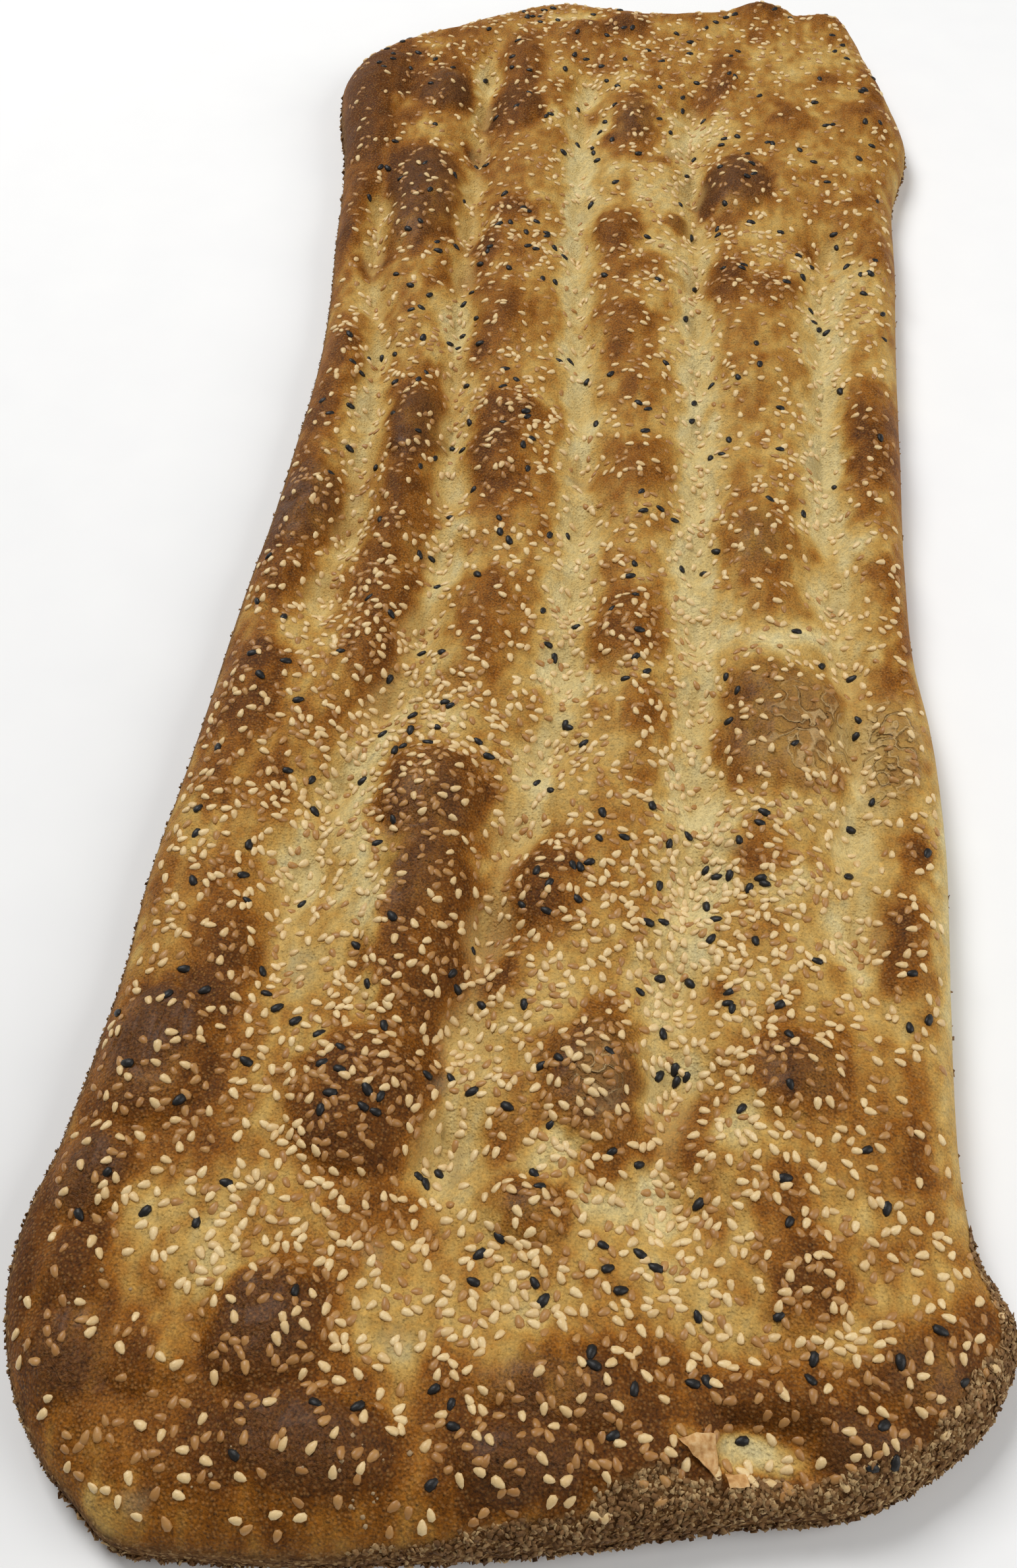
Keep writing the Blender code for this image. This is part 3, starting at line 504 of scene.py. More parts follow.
# Middle x and y, half width, half length, and how baked: 0 is cream, 0.5 golden brown, and 1
# nearly burnt
BROWNED = [
    # The near end, below the last grooves
    (0, -352, 130, 24, 0.58), (112, -315, 22, 34, 0.50), (-84, -310, 18, 9, 0.42),
    (30, -318, 22, 9, 0.50), (-13, -272, 8, 26, 0.33), (-12, -318, 12, 14, 0.40),
    (60, -262, 8, 12, 0.40), (60, -295, 12, 18, 0.46), (-72, -242, 8, 26, 0.40),
    (-78, -370, 30, 16, 0.60), (-86, -384, 14, 6, 0.48), (-104, -268, 20, 24, 0.76),
    (-112, -303, 11, 13, 0.80), (-109, -328, 10, 11, 0.84), (-106, -350, 12, 15, 0.78),
    (-84, -348, 9, 9, 0.74), (-55, -336, 15, 16, 0.86), (-38, -364, 24, 15, 0.86),
    (-14, -360, 12, 10, 0.60), (-42, -275, 22, 20, 0.78), (-26, -255, 6, 25, 0.74),
    (-37, -315, 4, 6, 0.66), (-35, -303, 8, 8, 0.64), (22, -258, 13, 19, 0.72),
    (28, -284, 8, 7, 0.58), (14, -286, 10, 6, 0.28), (9, -298, 10, 7, 0.70), (-2, -279, 5, 6, 0.60),
    (20, -343, 24, 10, 0.70), (36, -333, 10, 6, 0.74), (14, -361, 16, 11, 0.88),
    (18, -363, 10, 8, 0.92), (48, -265, 9, 10, 0.58), (81, -249, 15, 14, 0.72),
    (82, -283, 11, 8, 0.66), (83, -308, 11, 14, 0.76), (112, -272, 13, 24, 0.60),
    (114, -330, 16, 16, 0.70), (76, -338, 22, 7, 0.72), (100, -349, 13, 9, 0.86),
    (131, -318, 9, 20, 0.66), (99, -332, 9, 7, 0.70), (44, -352, 12, 7, 0.80),
    (84, -361, 24, 5, 0.68), (68, -350, 15, 5, 0.30), (-88, -285, 12, 20, 0.60),
    (-127, -325, 8, 20, 0.78), (-60, -384, 44, 7, 0.60), (112, -236, 12, 20, 0.54),
    (10, -326, 26, 6, 0.46), (30, -378, 40, 6, 0.56), (-92, -262, 11, 16, 0.68),
    (-122, -330, 8, 20, 0.72), (-62, -366, 14, 12, 0.72), (-84, -385, 10, 4, 0.40),
    (22, -355, 14, 5, 0.84), (100, -354, 26, 5, 0.86), (58, -361, 22, 4, 0.84),
    (-14, -310, 8, 7, 0.48), (34, -275, 12, 9, 0.56), (-72, -322, 10, 8, 0.32),
    (-70, -278, 8, 9, 0.38), (-92, -312, 10, 8, 0.34), (-26, -331, 9, 8, 0.40),
    (12, -325, 11, 6, 0.34), (66, -322, 15, 7, 0.40), (66, -270, 6, 9, 0.42),
    (-60, -300, 9, 8, 0.42), (-102, -250, 10, 8, 0.88), (50, -272, 9, 9, 0.62),
    (57, -227, 8, 9, 0.60), (-40, -287, 8, 7, 0.76), (-50, -365, 12, 8, 0.94),
    (-22, -350, 7, 8, 0.50), (-75, -345, 6, 9, 0.48), (5, -335, 9, 5, 0.42), (95, -307, 6, 8, 0.46),
    (30, -302, 9, 8, 0.38), (25, -262, 8, 8, 0.76), (127, -322, 7, 9, 0.74),
    (-60, -257, 6, 7, 0.38), (25, -283, 7, 6, 0.62), (-85, -282, 8, 9, 0.74),
    (108, -309, 8, 7, 0.42), (94, -322, 9, 7, 0.40), (-75, -252, 6, 9, 0.62),
    (65, -267, 7, 8, 0.26), (-60, -316, 7, 7, 0.42),
    # A pale crease that runs aslant from the third groove
    (16, -282, 7, 6, 0.26), (31, -294, 7, 5, 0.24), (47, -310, 7, 5, 0.30), (57, -318, 7, 5, 0.34),
    # More small spots of the near end
    (-102, -260, 8, 8, 0.84), (15, -312, 6, 6, 0.54), (40, -272, 6, 8, 0.62),
    (-5, -310, 7, 6, 0.42), (90, -282, 7, 7, 0.44), (-22, -338, 7, 6, 0.36), (60, -290, 6, 6, 0.52),
    (95, -351, 8, 5, 0.94), (-10, -325, 8, 5, 0.42), (-60, -346, 7, 5, 0.84),
    (70, -310, 6, 6, 0.48), (-74, -322, 7, 6, 0.36), (-22, -302, 5, 8, 0.58),
    (-22, -256, 4, 8, 0.72), (50, -267, 6, 8, 0.72), (30, -303, 6, 5, 0.46),
    (-78, -282, 6, 7, 0.56), (0, -303, 6, 6, 0.38), (120, -302, 7, 7, 0.42), (94, -290, 7, 7, 0.40),
    # The torn place: a pale hollow with an amber rim, and the dark edge of the lip
    (90, -354, 8, 5, 0.68), (68, -344, 14, 3, 0.80), (59, -357, 5, 3, 0.72), (74, -352, 9, 5, 0.16),
    (42, -357, 5, 2, 0.95), (49, -354, 4, 2, 0.95),
    # The near half: the long blister and its neighbours
    (84, -80, 24, 9, 0.16), (-60, -180, 10, 38, 0.24), (-73, -230, 8, 20, 0.34),
    (-38, -130, 9, 8, 0.30), (-2, -95, 6, 22, 0.32), (-9, -168, 5, 14, 0.32),
    (8, -140, 9, 30, 0.38), (43, -112, 8, 36, 0.30), (46, -165, 14, 14, 0.28),
    (92, -172, 14, 22, 0.40), (-90, -90, 9, 16, 0.38), (-110, -114, 13, 18, 0.74),
    (-110, -141, 13, 11, 0.72), (-112, -164, 8, 14, 0.66), (-92, -163, 8, 12, 0.62),
    (-119, -208, 5, 13, 0.58), (-90, -232, 11, 18, 0.78), (-94, -205, 10, 12, 0.62),
    (-67, -96, 11, 28, 0.72), (-82, -134, 9, 12, 0.60), (-36, -92, 14, 22, 0.60),
    (-38, -163, 16, 18, 0.72), (-51, -165, 6, 14, 0.76), (-34, -186, 13, 14, 0.66),
    (-33, -218, 15, 26, 0.78), (-21, -215, 5, 28, 0.82), (-2, -192, 12, 19, 0.76),
    (-12, -228, 9, 20, 0.62), (19, -86, 13, 14, 0.62), (27, -122, 10, 26, 0.60),
    (76, -110, 24, 18, 0.58), (74, -136, 18, 16, 0.54), (58, -104, 6, 12, 0.66),
    (70, -167, 6, 8, 0.58), (112, -96, 13, 9, 0.64), (114, -124, 12, 24, 0.42),
    (99, -136, 4, 10, 0.62), (121, -163, 7, 12, 0.66), (115, -201, 12, 17, 0.74),
    (137, -180, 13, 85, 0.20), (27, -196, 13, 22, 0.50), (-73, -172, 5, 22, 0.50),
    (50, -234, 7, 13, 0.44), (-13, -190, 6, 40, 0.44), (121, -126, 8, 18, 0.50),
    (90, -90, 7, 11, 0.34), (-88, -78, 6, 12, 0.52), (25, -165, 9, 16, 0.50),
    (16, -222, 8, 9, 0.40), (36, -214, 8, 14, 0.36), (65, -222, 8, 13, 0.38),
    (80, -185, 13, 7, 0.30), (78, -154, 15, 6, 0.34), (-51, -197, 4, 12, 0.48),
    (-50, -102, 5, 8, 0.42), (46, -100, 7, 13, 0.24), (-12, -214, 6, 18, 0.90),
    (-14, -130, 6, 10, 0.52), (-75, -152, 7, 10, 0.50), (-67, -195, 6, 10, 0.42),
    (45, -172, 7, 8, 0.44), (62, -130, 8, 10, 0.68), (95, -102, 7, 7, 0.60), (-90, -72, 5, 8, 0.56),
    (90, -212, 7, 10, 0.46), (110, -157, 7, 9, 0.46), (25, -97, 8, 8, 0.40),
    (-45, -102, 5, 8, 0.30), (-55, -202, 4, 10, 0.26), (-45, -240, 6, 6, 0.34),
    (56, -94, 6, 7, 0.34), (86, -87, 8, 6, 0.42), (0, -135, 6, 8, 0.48), (-67, -123, 5, 9, 0.74),
    (-70, -212, 6, 10, 0.42), (-15, -177, 4, 9, 0.62), (-7, -115, 5, 10, 0.52),
    (120, -166, 5, 8, 0.76), (37, -97, 5, 8, 0.44), (-102, -95, 7, 9, 0.34), (-45, -77, 6, 6, 0.42),
    (-35, -142, 6, 5, 0.38), (-50, -210, 5, 11, 0.24), (5, -202, 5, 8, 0.56),
    (110, -227, 7, 8, 0.36), (55, -227, 7, 8, 0.58), (35, -177, 7, 7, 0.48),
    (-10, -182, 4, 8, 0.64), (-80, -162, 6, 8, 0.44), (-63, -117, 5, 8, 0.78),
    (92, -90, 7, 6, 0.52), (-35, -222, 6, 7, 0.64), (16, -112, 6, 7, 0.40), (-45, -72, 6, 6, 0.34),
    (10, -237, 7, 7, 0.34), (27, -201, 7, 7, 0.50), (70, -177, 6, 7, 0.60), (-82, -209, 6, 8, 0.54),
    (-15, -203, 4, 9, 0.66), (-12, -167, 4, 9, 0.48), (-75, -167, 6, 7, 0.52),
    (-67, -132, 4, 8, 0.62), (57, -87, 6, 6, 0.50), (97, -91, 6, 6, 0.60), (75, -89, 8, 5, 0.24),
    (-120, -182, 6, 9, 0.38), (-90, -122, 6, 7, 0.40), (20, -137, 7, 8, 0.34),
    (-5, -97, 5, 9, 0.16), (-35, -212, 6, 7, 0.62),
    # The middle, where the grooves are deepest
    (-97, 4, 8, 28, 0.40), (-56, 4, 5, 54, 0.24), (-9, 50, 9, 38, 0.28), (-5, -35, 9, 34, 0.32),
    (43, 0, 9, 74, 0.26), (57, -68, 9, 20, 0.30), (92, 0, 10, 44, 0.24),
    (98, -52, 7, 20, 0.42), (93, 70, 8, 24, 0.28),
    (-114, 70, 10, 22, 0.68), (-117, 30, 7, 26, 0.72), (-111, -28, 12, 26, 0.68),
    (-97, -33, 6, 20, 0.70), (-112, -68, 11, 18, 0.72), (-77, 38, 13, 14, 0.76),
    (-74, 12, 12, 13, 0.70), (-72, -14, 12, 14, 0.74), (-76, -38, 11, 13, 0.66),
    (-75, -66, 13, 20, 0.68), (-62, -60, 5, 30, 0.68), (-37, 38, 14, 12, 0.68),
    (-40, 15, 13, 18, 0.76), (-34, -13, 13, 12, 0.70), (-18, 10, 4, 32, 0.58),
    (-33, -70, 14, 14, 0.60), (15, 62, 10, 14, 0.58), (18, 2, 15, 26, 0.58),
    (17, 15, 8, 8, 0.63), (18, -55, 9, 12, 0.62), (20, -78, 13, 14, 0.64),
    (60, 76, 12, 16, 0.49), (78, 78, 7, 18, 0.52), (70, 4, 14, 13, 0.47),
    (67, -28, 14, 22, 0.60), (71, -60, 11, 13, 0.56), (112, 38, 13, 34, 0.74),
    (113, -10, 10, 12, 0.54), (116, -38, 8, 14, 0.62), (120, -70, 5, 24, 0.62),
    (104, -82, 9, 10, 0.56), (136, -75, 9, 30, 0.30), (-91, -8, 6, 18, 0.52),
    (22, -24, 9, 11, 0.44), (110, -22, 8, 11, 0.42), (-120, -28, 6, 24, 0.80),
    (22, -52, 7, 7, 0.42), (-5, 10, 5, 9, 0.50), (-45, -42, 8, 7, 0.52), (-15, -30, 5, 10, 0.58),
    (90, -27, 6, 8, 0.50), (-67, 55, 7, 10, 0.74), (118, 90, 6, 16, 0.34), (76, 12, 7, 8, 0.52),
    (-60, -24, 5, 10, 0.64), (-90, -67, 5, 9, 0.66), (0, 2, 4, 9, 0.60), (20, -15, 7, 7, 0.40),
    (-27, 45, 7, 8, 0.40), (5, 25, 6, 8, 0.44), (-70, 60, 6, 10, 0.92), (-95, 65, 6, 10, 0.58),
    (5, 90, 7, 7, 0.48), (-95, 105, 7, 8, 0.54), (65, 70, 8, 7, 0.44), (97, 30, 6, 12, 0.16),
    (-90, -3, 4, 11, 0.64), (-60, -20, 4, 8, 0.66), (-110, 100, 6, 8, 0.60), (-65, -51, 5, 8, 0.50),
    (-35, -12, 7, 7, 0.60), (105, -23, 6, 8, 0.24), (50, -76, 6, 7, 0.16), (-45, 60, 7, 7, 0.54),
    (0, 60, 6, 8, 0.50), (111, 60, 7, 8, 0.54), (-110, 58, 7, 8, 0.56),
    # The far half
    (-119, 175, 4, 30, 0.42), (-71, 170, 6, 46, 0.36), (-19, 175, 7, 50, 0.26),
    (-12, 100, 7, 26, 0.28), (14, 218, 16, 24, 0.28), (24, 165, 12, 24, 0.28),
    (33, 122, 7, 30, 0.26), (65, 185, 14, 14, 0.36), (92, 122, 11, 48, 0.26),
    (-138, 240, 14, 18, 0.78), (-133, 175, 8, 50, 0.70), (-104, 218, 17, 20, 0.82),
    (-98, 185, 19, 16, 0.72), (-91, 163, 15, 14, 0.70), (-109, 140, 8, 13, 0.60),
    (-81, 130, 7, 11, 0.66), (-57, 190, 9, 16, 0.58), (-60, 160, 10, 14, 0.56),
    (-50, 100, 13, 26, 0.66), (-4, 172, 11, 17, 0.74), (4, 110, 15, 14, 0.66),
    (-2, 138, 11, 12, 0.58), (6, 86, 11, 12, 0.62), (25, 189, 6, 7, 0.66), (50, 222, 17, 24, 0.84),
    (39, 208, 5, 8, 0.86), (76, 230, 9, 16, 0.58), (46, 190, 7, 12, 0.58), (49, 142, 9, 17, 0.74),
    (70, 138, 14, 13, 0.68), (62, 110, 20, 15, 0.50), (100, 200, 10, 28, 0.54),
    (118, 168, 8, 22, 0.60), (117, 120, 8, 24, 0.48), (139, 232, 9, 30, 0.26),
    (-78, 258, 8, 32, 0.56), (-70, 215, 11, 26, 0.56), (-68, 138, 9, 18, 0.60),
    (-101, 84, 8, 22, 0.48), (-46, 150, 8, 14, 0.58), (35, 180, 5, 20, 0.44),
    (16, 146, 9, 13, 0.44), (95, 165, 6, 20, 0.48), (-68, 58, 8, 18, 0.56),
    (-107, 190, 6, 26, 0.68), (-112, 140, 8, 15, 0.54), (-106, 108, 8, 13, 0.50),
    (-90, 92, 9, 9, 0.50), (8, 247, 7, 12, 0.58), (23, 136, 7, 14, 0.42), (-110, 210, 9, 14, 0.92),
    (-115, 147, 7, 10, 0.66), (15, 146, 7, 9, 0.64), (42, 145, 6, 10, 0.80),
    (118, 140, 6, 16, 0.36), (10, 120, 7, 7, 0.46), (-45, 200, 6, 9, 0.42), (35, 210, 4, 13, 0.98),
    (110, 212, 8, 10, 0.58), (-65, 157, 8, 9, 0.74), (-115, 142, 6, 9, 0.84),
    (-55, 185, 7, 9, 0.76), (90, 175, 7, 9, 0.60), (110, 155, 6, 9, 0.32), (-90, 190, 6, 9, 0.50),
    (-95, 240, 7, 8, 0.46), (36, 222, 4, 10, 1.00), (11, 225, 5, 9, 0.40), (-10, 225, 6, 9, 0.32),
    (32, 250, 6, 6, 0.44), (-80, 244, 5, 10, 0.90), (-102, 202, 8, 9, 0.90), (-70, 135, 5, 9, 0.84),
    (-55, 75, 6, 8, 0.68), (15, 118, 6, 7, 0.38), (80, 240, 7, 8, 0.34), (-90, 235, 6, 8, 0.50),
    (55, 246, 7, 7, 0.62), (-95, 174, 7, 8, 0.62), (60, 130, 7, 7, 0.60), (-75, 235, 5, 9, 0.68),
    (110, 240, 7, 8, 0.40), (110, 120, 6, 9, 0.36), (-135, 255, 7, 8, 0.62), (-60, 120, 6, 8, 0.62),
    # The far end
    (90, 330, 60, 90, 0.48), (12, 388, 22, 10, 0.56), (-84, 305, 6, 26, 0.32),
    (-27, 272, 9, 20, 0.36), (-15, 316, 14, 8, 0.38), (30, 268, 18, 22, 0.24),
    (62, 352, 14, 10, 0.40), (103, 355, 10, 15, 0.38), (-108, 256, 10, 10, 0.38),
    (-117, 335, 6, 14, 0.42), (-140, 318, 18, 26, 0.76), (-143, 270, 14, 28, 0.84),
    (-124, 300, 6, 14, 0.78), (-104, 294, 13, 20, 0.76), (-96, 292, 6, 14, 0.82),
    (-104, 325, 8, 14, 0.64), (-70, 340, 10, 15, 0.74), (-65, 312, 11, 13, 0.70),
    (-65, 279, 13, 18, 0.82), (-40, 366, 14, 10, 0.72), (-16, 375, 13, 12, 0.74),
    (-18, 330, 8, 6, 0.60), (-3, 291, 9, 16, 0.64), (-2, 262, 11, 16, 0.68), (43, 330, 8, 22, 0.64),
    (40, 312, 8, 5, 0.72), (60, 404, 12, 9, 0.76), (62, 384, 14, 14, 0.60), (95, 398, 14, 8, 0.62),
    (98, 326, 10, 9, 0.64), (116, 292, 13, 18, 0.66), (121, 332, 6, 22, 0.62),
    (77, 286, 9, 11, 0.64), (116, 260, 14, 16, 0.50), (62, 262, 12, 14, 0.54),
    (-62, 385, 14, 10, 0.58), (-106, 358, 14, 12, 0.62), (-45, 308, 8, 14, 0.54),
    (-3, 340, 12, 10, 0.52), (26, 299, 10, 10, 0.52), (33, 257, 7, 7, 0.50),
    (-78, 325, 5, 12, 0.54), (-27, 283, 6, 13, 0.60), (-77, 283, 5, 12, 0.84),
    (32, 302, 8, 9, 0.70), (33, 256, 7, 7, 0.50), (-45, 325, 6, 8, 0.38), (-50, 378, 9, 6, 0.34),
    (10, 376, 9, 6, 0.40), (78, 332, 9, 8, 0.34), (90, 345, 8, 8, 0.36), (-150, 302, 7, 14, 0.94),
    (-77, 281, 5, 13, 1.00), (10, 325, 7, 8, 0.58), (-46, 364, 8, 6, 0.50), (-20, 270, 5, 10, 0.24),
    (25, 345, 7, 7, 0.42), (40, 375, 8, 7, 0.38), (82, 245, 8, 8, 0.40), (107, 310, 8, 9, 0.38),
    (100, 285, 6, 7, 0.46), (-40, 380, 10, 6, 0.28), (-45, 275, 6, 9, 0.34), (-81, 288, 4, 9, 0.90),
    (-120, 260, 6, 9, 0.66), (100, 380, 8, 7, 0.58), (15, 240, 5, 6, 0.58), (10, 290, 6, 8, 0.42),
    (70, 270, 7, 8, 0.60), (60, 370, 8, 7, 0.66),
]
# How far a mark's colour fades out, as a share of its half size
MARK_REACH = 1.9
# Blisters whose colour ends at a clear edge, in the same order of values
EDGED = [
    (-55, -337, 15, 14, 0.84), (-38, -364, 22, 12, 0.84), (14, -361, 16, 9, 0.86),
    (9, -299, 10, 7, 0.64), (84, -309, 11, 12, 0.70), (-44, -272, 18, 20, 0.74),
    (24, -258, 13, 18, 0.68), (81, -249, 14, 13, 0.68), (-37, -165, 16, 19, 0.70),
    (-34, -212, 13, 36, 0.68), (-1, -192, 12, 18, 0.72), (72, -116, 19, 25, 0.58),
    (-111, -28, 11, 26, 0.70), (-75, 24, 12, 24, 0.74), (-38, 38, 14, 11, 0.68),
    (112, 38, 11, 30, 0.68), (67, -28, 13, 20, 0.56), (-101, 200, 16, 34, 0.76),
    (51, 222, 17, 21, 0.74), (25, 188, 6, 7, 0.66), (-4, 178, 10, 16, 0.66),
    (50, 142, 10, 14, 0.68), (-62, 280, 13, 19, 0.72), (-105, 290, 12, 18, 0.72),
    (-4, 274, 10, 18, 0.64), (-66, 332, 9, 18, 0.66), (42, 326, 7, 18, 0.62),
]
EDGED_SHARE = 0.6
EDGED_CORE, EDGED_REACH = 0.8, 1.15
# Middle x and y, half width and half length of the toffee skins
GLAZED = [
    (-106, -262, 14, 22), (-112, -304, 10, 12), (-40, -364, 20, 12), (24, -258, 14, 20),
    (9, -298, 9, 7), (-40, -180, 14, 36), (76, -116, 22, 30), (114, -124, 12, 22),
    (-109, -28, 12, 24), (-100, 190, 19, 42), (51, 221, 17, 25), (-103, 294, 12, 19),
    (-3, 272, 10, 22), (25, 189, 6, 7), (100, -349, 12, 8), (81, -249, 13, 12),
    (-75, 22, 10, 24), (67, -28, 9, 18), (-104, -350, 11, 12), (114, -330, 12, 10),
    (-55, -336, 13, 14), (16, -361, 15, 10), (20, -343, 20, 8),
]
# Where the dough is so thin that it looks grey and clear
THIN_SPOTS = [
    (-77, -381, 5, 4), (-31, -315, 4, 4), (-20, -337, 4, 5), (-66, -300, 4, 4), (-6, 3, 4, 6),
    (34, 116, 3, 8), (-92, -18, 3, 6), (41, 44, 3, 5), (-20, -262, 4, 6), (-14, -286, 3, 5),
    (20, 250, 5, 7), (-22, 196, 3, 8), (96, -52, 5, 8), (60, -170, 4, 4), (-70, -232, 5, 8),
    (90, 26, 5, 7),
]
# How the marks' edges wander at three scales: size, reach and noise layer
WANDER = [(30.0, 2.5, 51.0), (11.0, 3.0, 53.0), (4.5, 1.8, 55.0)]
# Uneven browning, drawn out along the loaf: size, reach and noise layer
MOTTLING = [(16.0, 0.08, 22.0), (7.0, 0.17, 23.0), (3.5, 0.17, 24.0)]
# Browning is stretched away from one middle level
BROWNING_CONTRAST = 1.72
MIDDLE_LEVEL = 0.42
# The left edge's own browning: how much, how far in from the outline, and how wide
EDGE_BROWNING = 0.03
EDGE_BROWNING_INWARD = 5
EDGE_BROWNING_WIDTH = 6
BRAN_WIDTH = 1.6
BRAN_BORDER = 1.2
# How the bran's border strays: size, reach and noise layer
BRAN_STRAYING = [(9.0, 2.0, 31.0), (3.2, 1.6, 32.0)]
# The right flank is nearly clear of bran
CLEAR_FLANK = 0.85
# Where the bran reaches further up the flank: middle x and y, radius, extra width
BRAN_BANDS = [
    (62, -368, 34, 8.5), (24, -380, 34, 4.5), (104, -354, 26, 7.0), (130, -334, 22, 9.0),
    (142, -310, 22, 5.5), (46, -364, 16, 13.0), (-130, -60, 120, 1.4), (-128, -300, 60, 1.6),
]
print(len(BROWNED), "soft marks and", len(EDGED), "with a clear edge")


# %% How baked a place is, and how covered with bran
def near_place(x, y, cx, cy, half_width, half_length):
    """1 at a mark's middle, fading away round it."""
    return np.exp(-((x - cx) / half_width) ** 2 - ((y - cy) / half_length) ** 2)


def wandered(x, y):
    """Places moved about a little, so that no mark's edge is a plain oval."""
    moved_x, moved_y = x, y
    for size, reach, layer in WANDER:
        moved_x = moved_x + reach * noise_at(x, y, size, layer)
        moved_y = moved_y + reach * noise_at(x, y, size, layer + 1)
    return moved_x, moved_y


def cover(x, y, mark, core, reach):
    """1 within a mark's core, falling to 0 at its reach, both as shares of its half size."""
    cx, cy, half_width, half_length = mark
    return 1 - fade(np.hypot((x - cx) / half_width, (y - cy) / half_length), core, reach)


def browning(x, y, groove, inward):
    """How baked the crust is, from 0 for cream to 1 for nearly burnt."""
    wx, wy = wandered(x, y)
    # The crust is made darker toward the far end
    bake = GOLDEN + FAR_END_DARKENING * fade(y, *FAR_END_DARKENING_RUN)
    bake = bake + PATCH_BROWNING * noise_at(x, y, PATCH_SIZE, 21.0)
    bake = bake + (GROOVE_LEVEL - bake) * fade(groove, *GROOVE_SIDES)
    for *mark, level in BROWNED:
        bake = bake + (level - bake) * cover(wx, wy, mark, 0.0, MARK_REACH)
    for *mark, level in EDGED:
        bake = bake + (level - bake) * EDGED_SHARE * cover(wx, wy, mark, EDGED_CORE, EDGED_REACH)
    bake = bake + (GROOVE_LEVEL - bake) * GROOVE_FLOOR_SHARE * fade(groove, *GROOVE_FLOOR)
    bake = MIDDLE_LEVEL + BROWNING_CONTRAST * (bake - MIDDLE_LEVEL)
    for size, reach, layer in MOTTLING:
        bake = bake + reach * noise_at(x, y * 0.5, size, layer)
    by_edge = np.exp(-((inward - EDGE_BROWNING_INWARD) / EDGE_BROWNING_WIDTH) ** 2)
    return np.clip(bake + EDGE_BROWNING * fade(-x, 60, 115) * by_edge, 0, 1)


def spots(x, y, marks, core, reach):
    """1 on any of the marks, 0 on the plain crust between them."""
    wx, wy = wandered(x, y)
    found = np.zeros(x.shape)
    for mark in marks:
        found = np.maximum(found, cover(wx, wy, mark, core, reach))
    return found


def bran_cover(x, y, inward):
    """1 where bran covers the flank, 0 on the clear crust."""
    width = np.full(x.shape, BRAN_WIDTH)
    for cx, cy, radius, extra in BRAN_BANDS:
        width = np.maximum(width, BRAN_WIDTH + extra * near_place(x, y, cx, cy, radius, radius))
    ragged = sum(reach * noise_at(x, y, size, layer) for size, reach, layer in BRAN_STRAYING)
    bare = fade(x, 100, 122) * fade(y, -300, -270)
    within = 1 - fade(inward + ragged * width / 8, width - BRAN_BORDER, width + BRAN_BORDER)
    return (1 - CLEAR_FLANK * bare) * within


# %% [markdown]
# ## The crust's mesh
# A grid is made once with its operator, and its vertices are moved so that its four sides
# follow the outline. Between them each place is a blend of the four sides, which is called a
# Coons patch. The rows are closer together at the near end, which the camera sees largest. The
# open rim is then extruded down and in, like the tucked-under edge of dough, and the last ring
# is filled, which gives the flat underside.

# %% Grid, rim and underside
ROWS_ACROSS = 172
ROWS_LENGTHWISE = 480
ACROSS_CROWDING = 0.2
NEAR_CROWDING = 0.26
RIM_STEPS = 4


def blended_grid(s, t):
    """The place on the loaf for each pair of fractions across and along it."""
    near, right, far, left = SIDES
    s = s - ACROSS_CROWDING * np.sin(2 * math.pi * s) / (2 * math.pi)
    t = t + NEAR_CROWDING * (t * t - t)
    bottom, top = along(near, s), along(far[::-1], s)
    west, east = along(left[::-1], t), along(right, t)
    s, t = s[:, None], t[:, None]
    corners = ((1 - s) * (1 - t) * near[0] + s * (1 - t) * near[-1]
               + (1 - s) * t * far[-1] + s * t * far[0])
    return (1 - t) * bottom + t * top + (1 - s) * west + s * east - corners


def inward_of(places):
    """The direction into the loaf, square to the outline, at the place nearest to each one."""
    ahead = np.roll(OUTLINE, -1, 0) - np.roll(OUTLINE, 1, 0)
    normals = np.stack([-ahead[:, 1], ahead[:, 0]], -1)
    normals /= np.linalg.norm(normals, axis=1)[:, None]
    nearest = [np.argmin(((OUTLINE - place) ** 2).sum(1)) for place in places]
    return normals[nearest]


bm = bmesh.new()
bmesh.ops.create_grid(bm, x_segments=ROWS_ACROSS, y_segments=ROWS_LENGTHWISE, size=0.5)
fractions = np.array([v.co[:2] for v in bm.verts]) + 0.5
places = blended_grid(fractions[:, 0], fractions[:, 1])
px, py = places[:, 0], places[:, 1]
groove = groove_depth(px, py)
inward = edge_distance(px, py)
glazed = spots(px, py, GLAZED, 0.6, 1.15)
thin = spots(px, py, THIN_SPOTS, 0.3, 1.2)
height = crust_height(px, py, groove, glazed, inward)
marks = {"bake": browning(px, py, groove / GROOVE_DEPTH, inward), "toffee": glazed,
         "thin": thin, "groove": groove / GROOVE_DEPTH, "bran": bran_cover(px, py, inward),
         "folded": spots(px, py, FOLDED, 0.4, 1.15)}
layers = {name: bm.verts.layers.float.new(name) for name in marks}
bm.verts.ensure_lookup_table()
for number, vert in enumerate(bm.verts):
    vert.co = (px[number] * MM, py[number] * MM, height[number] * MM)
    for name, values in marks.items():
        vert[layers[name]] = values[number]

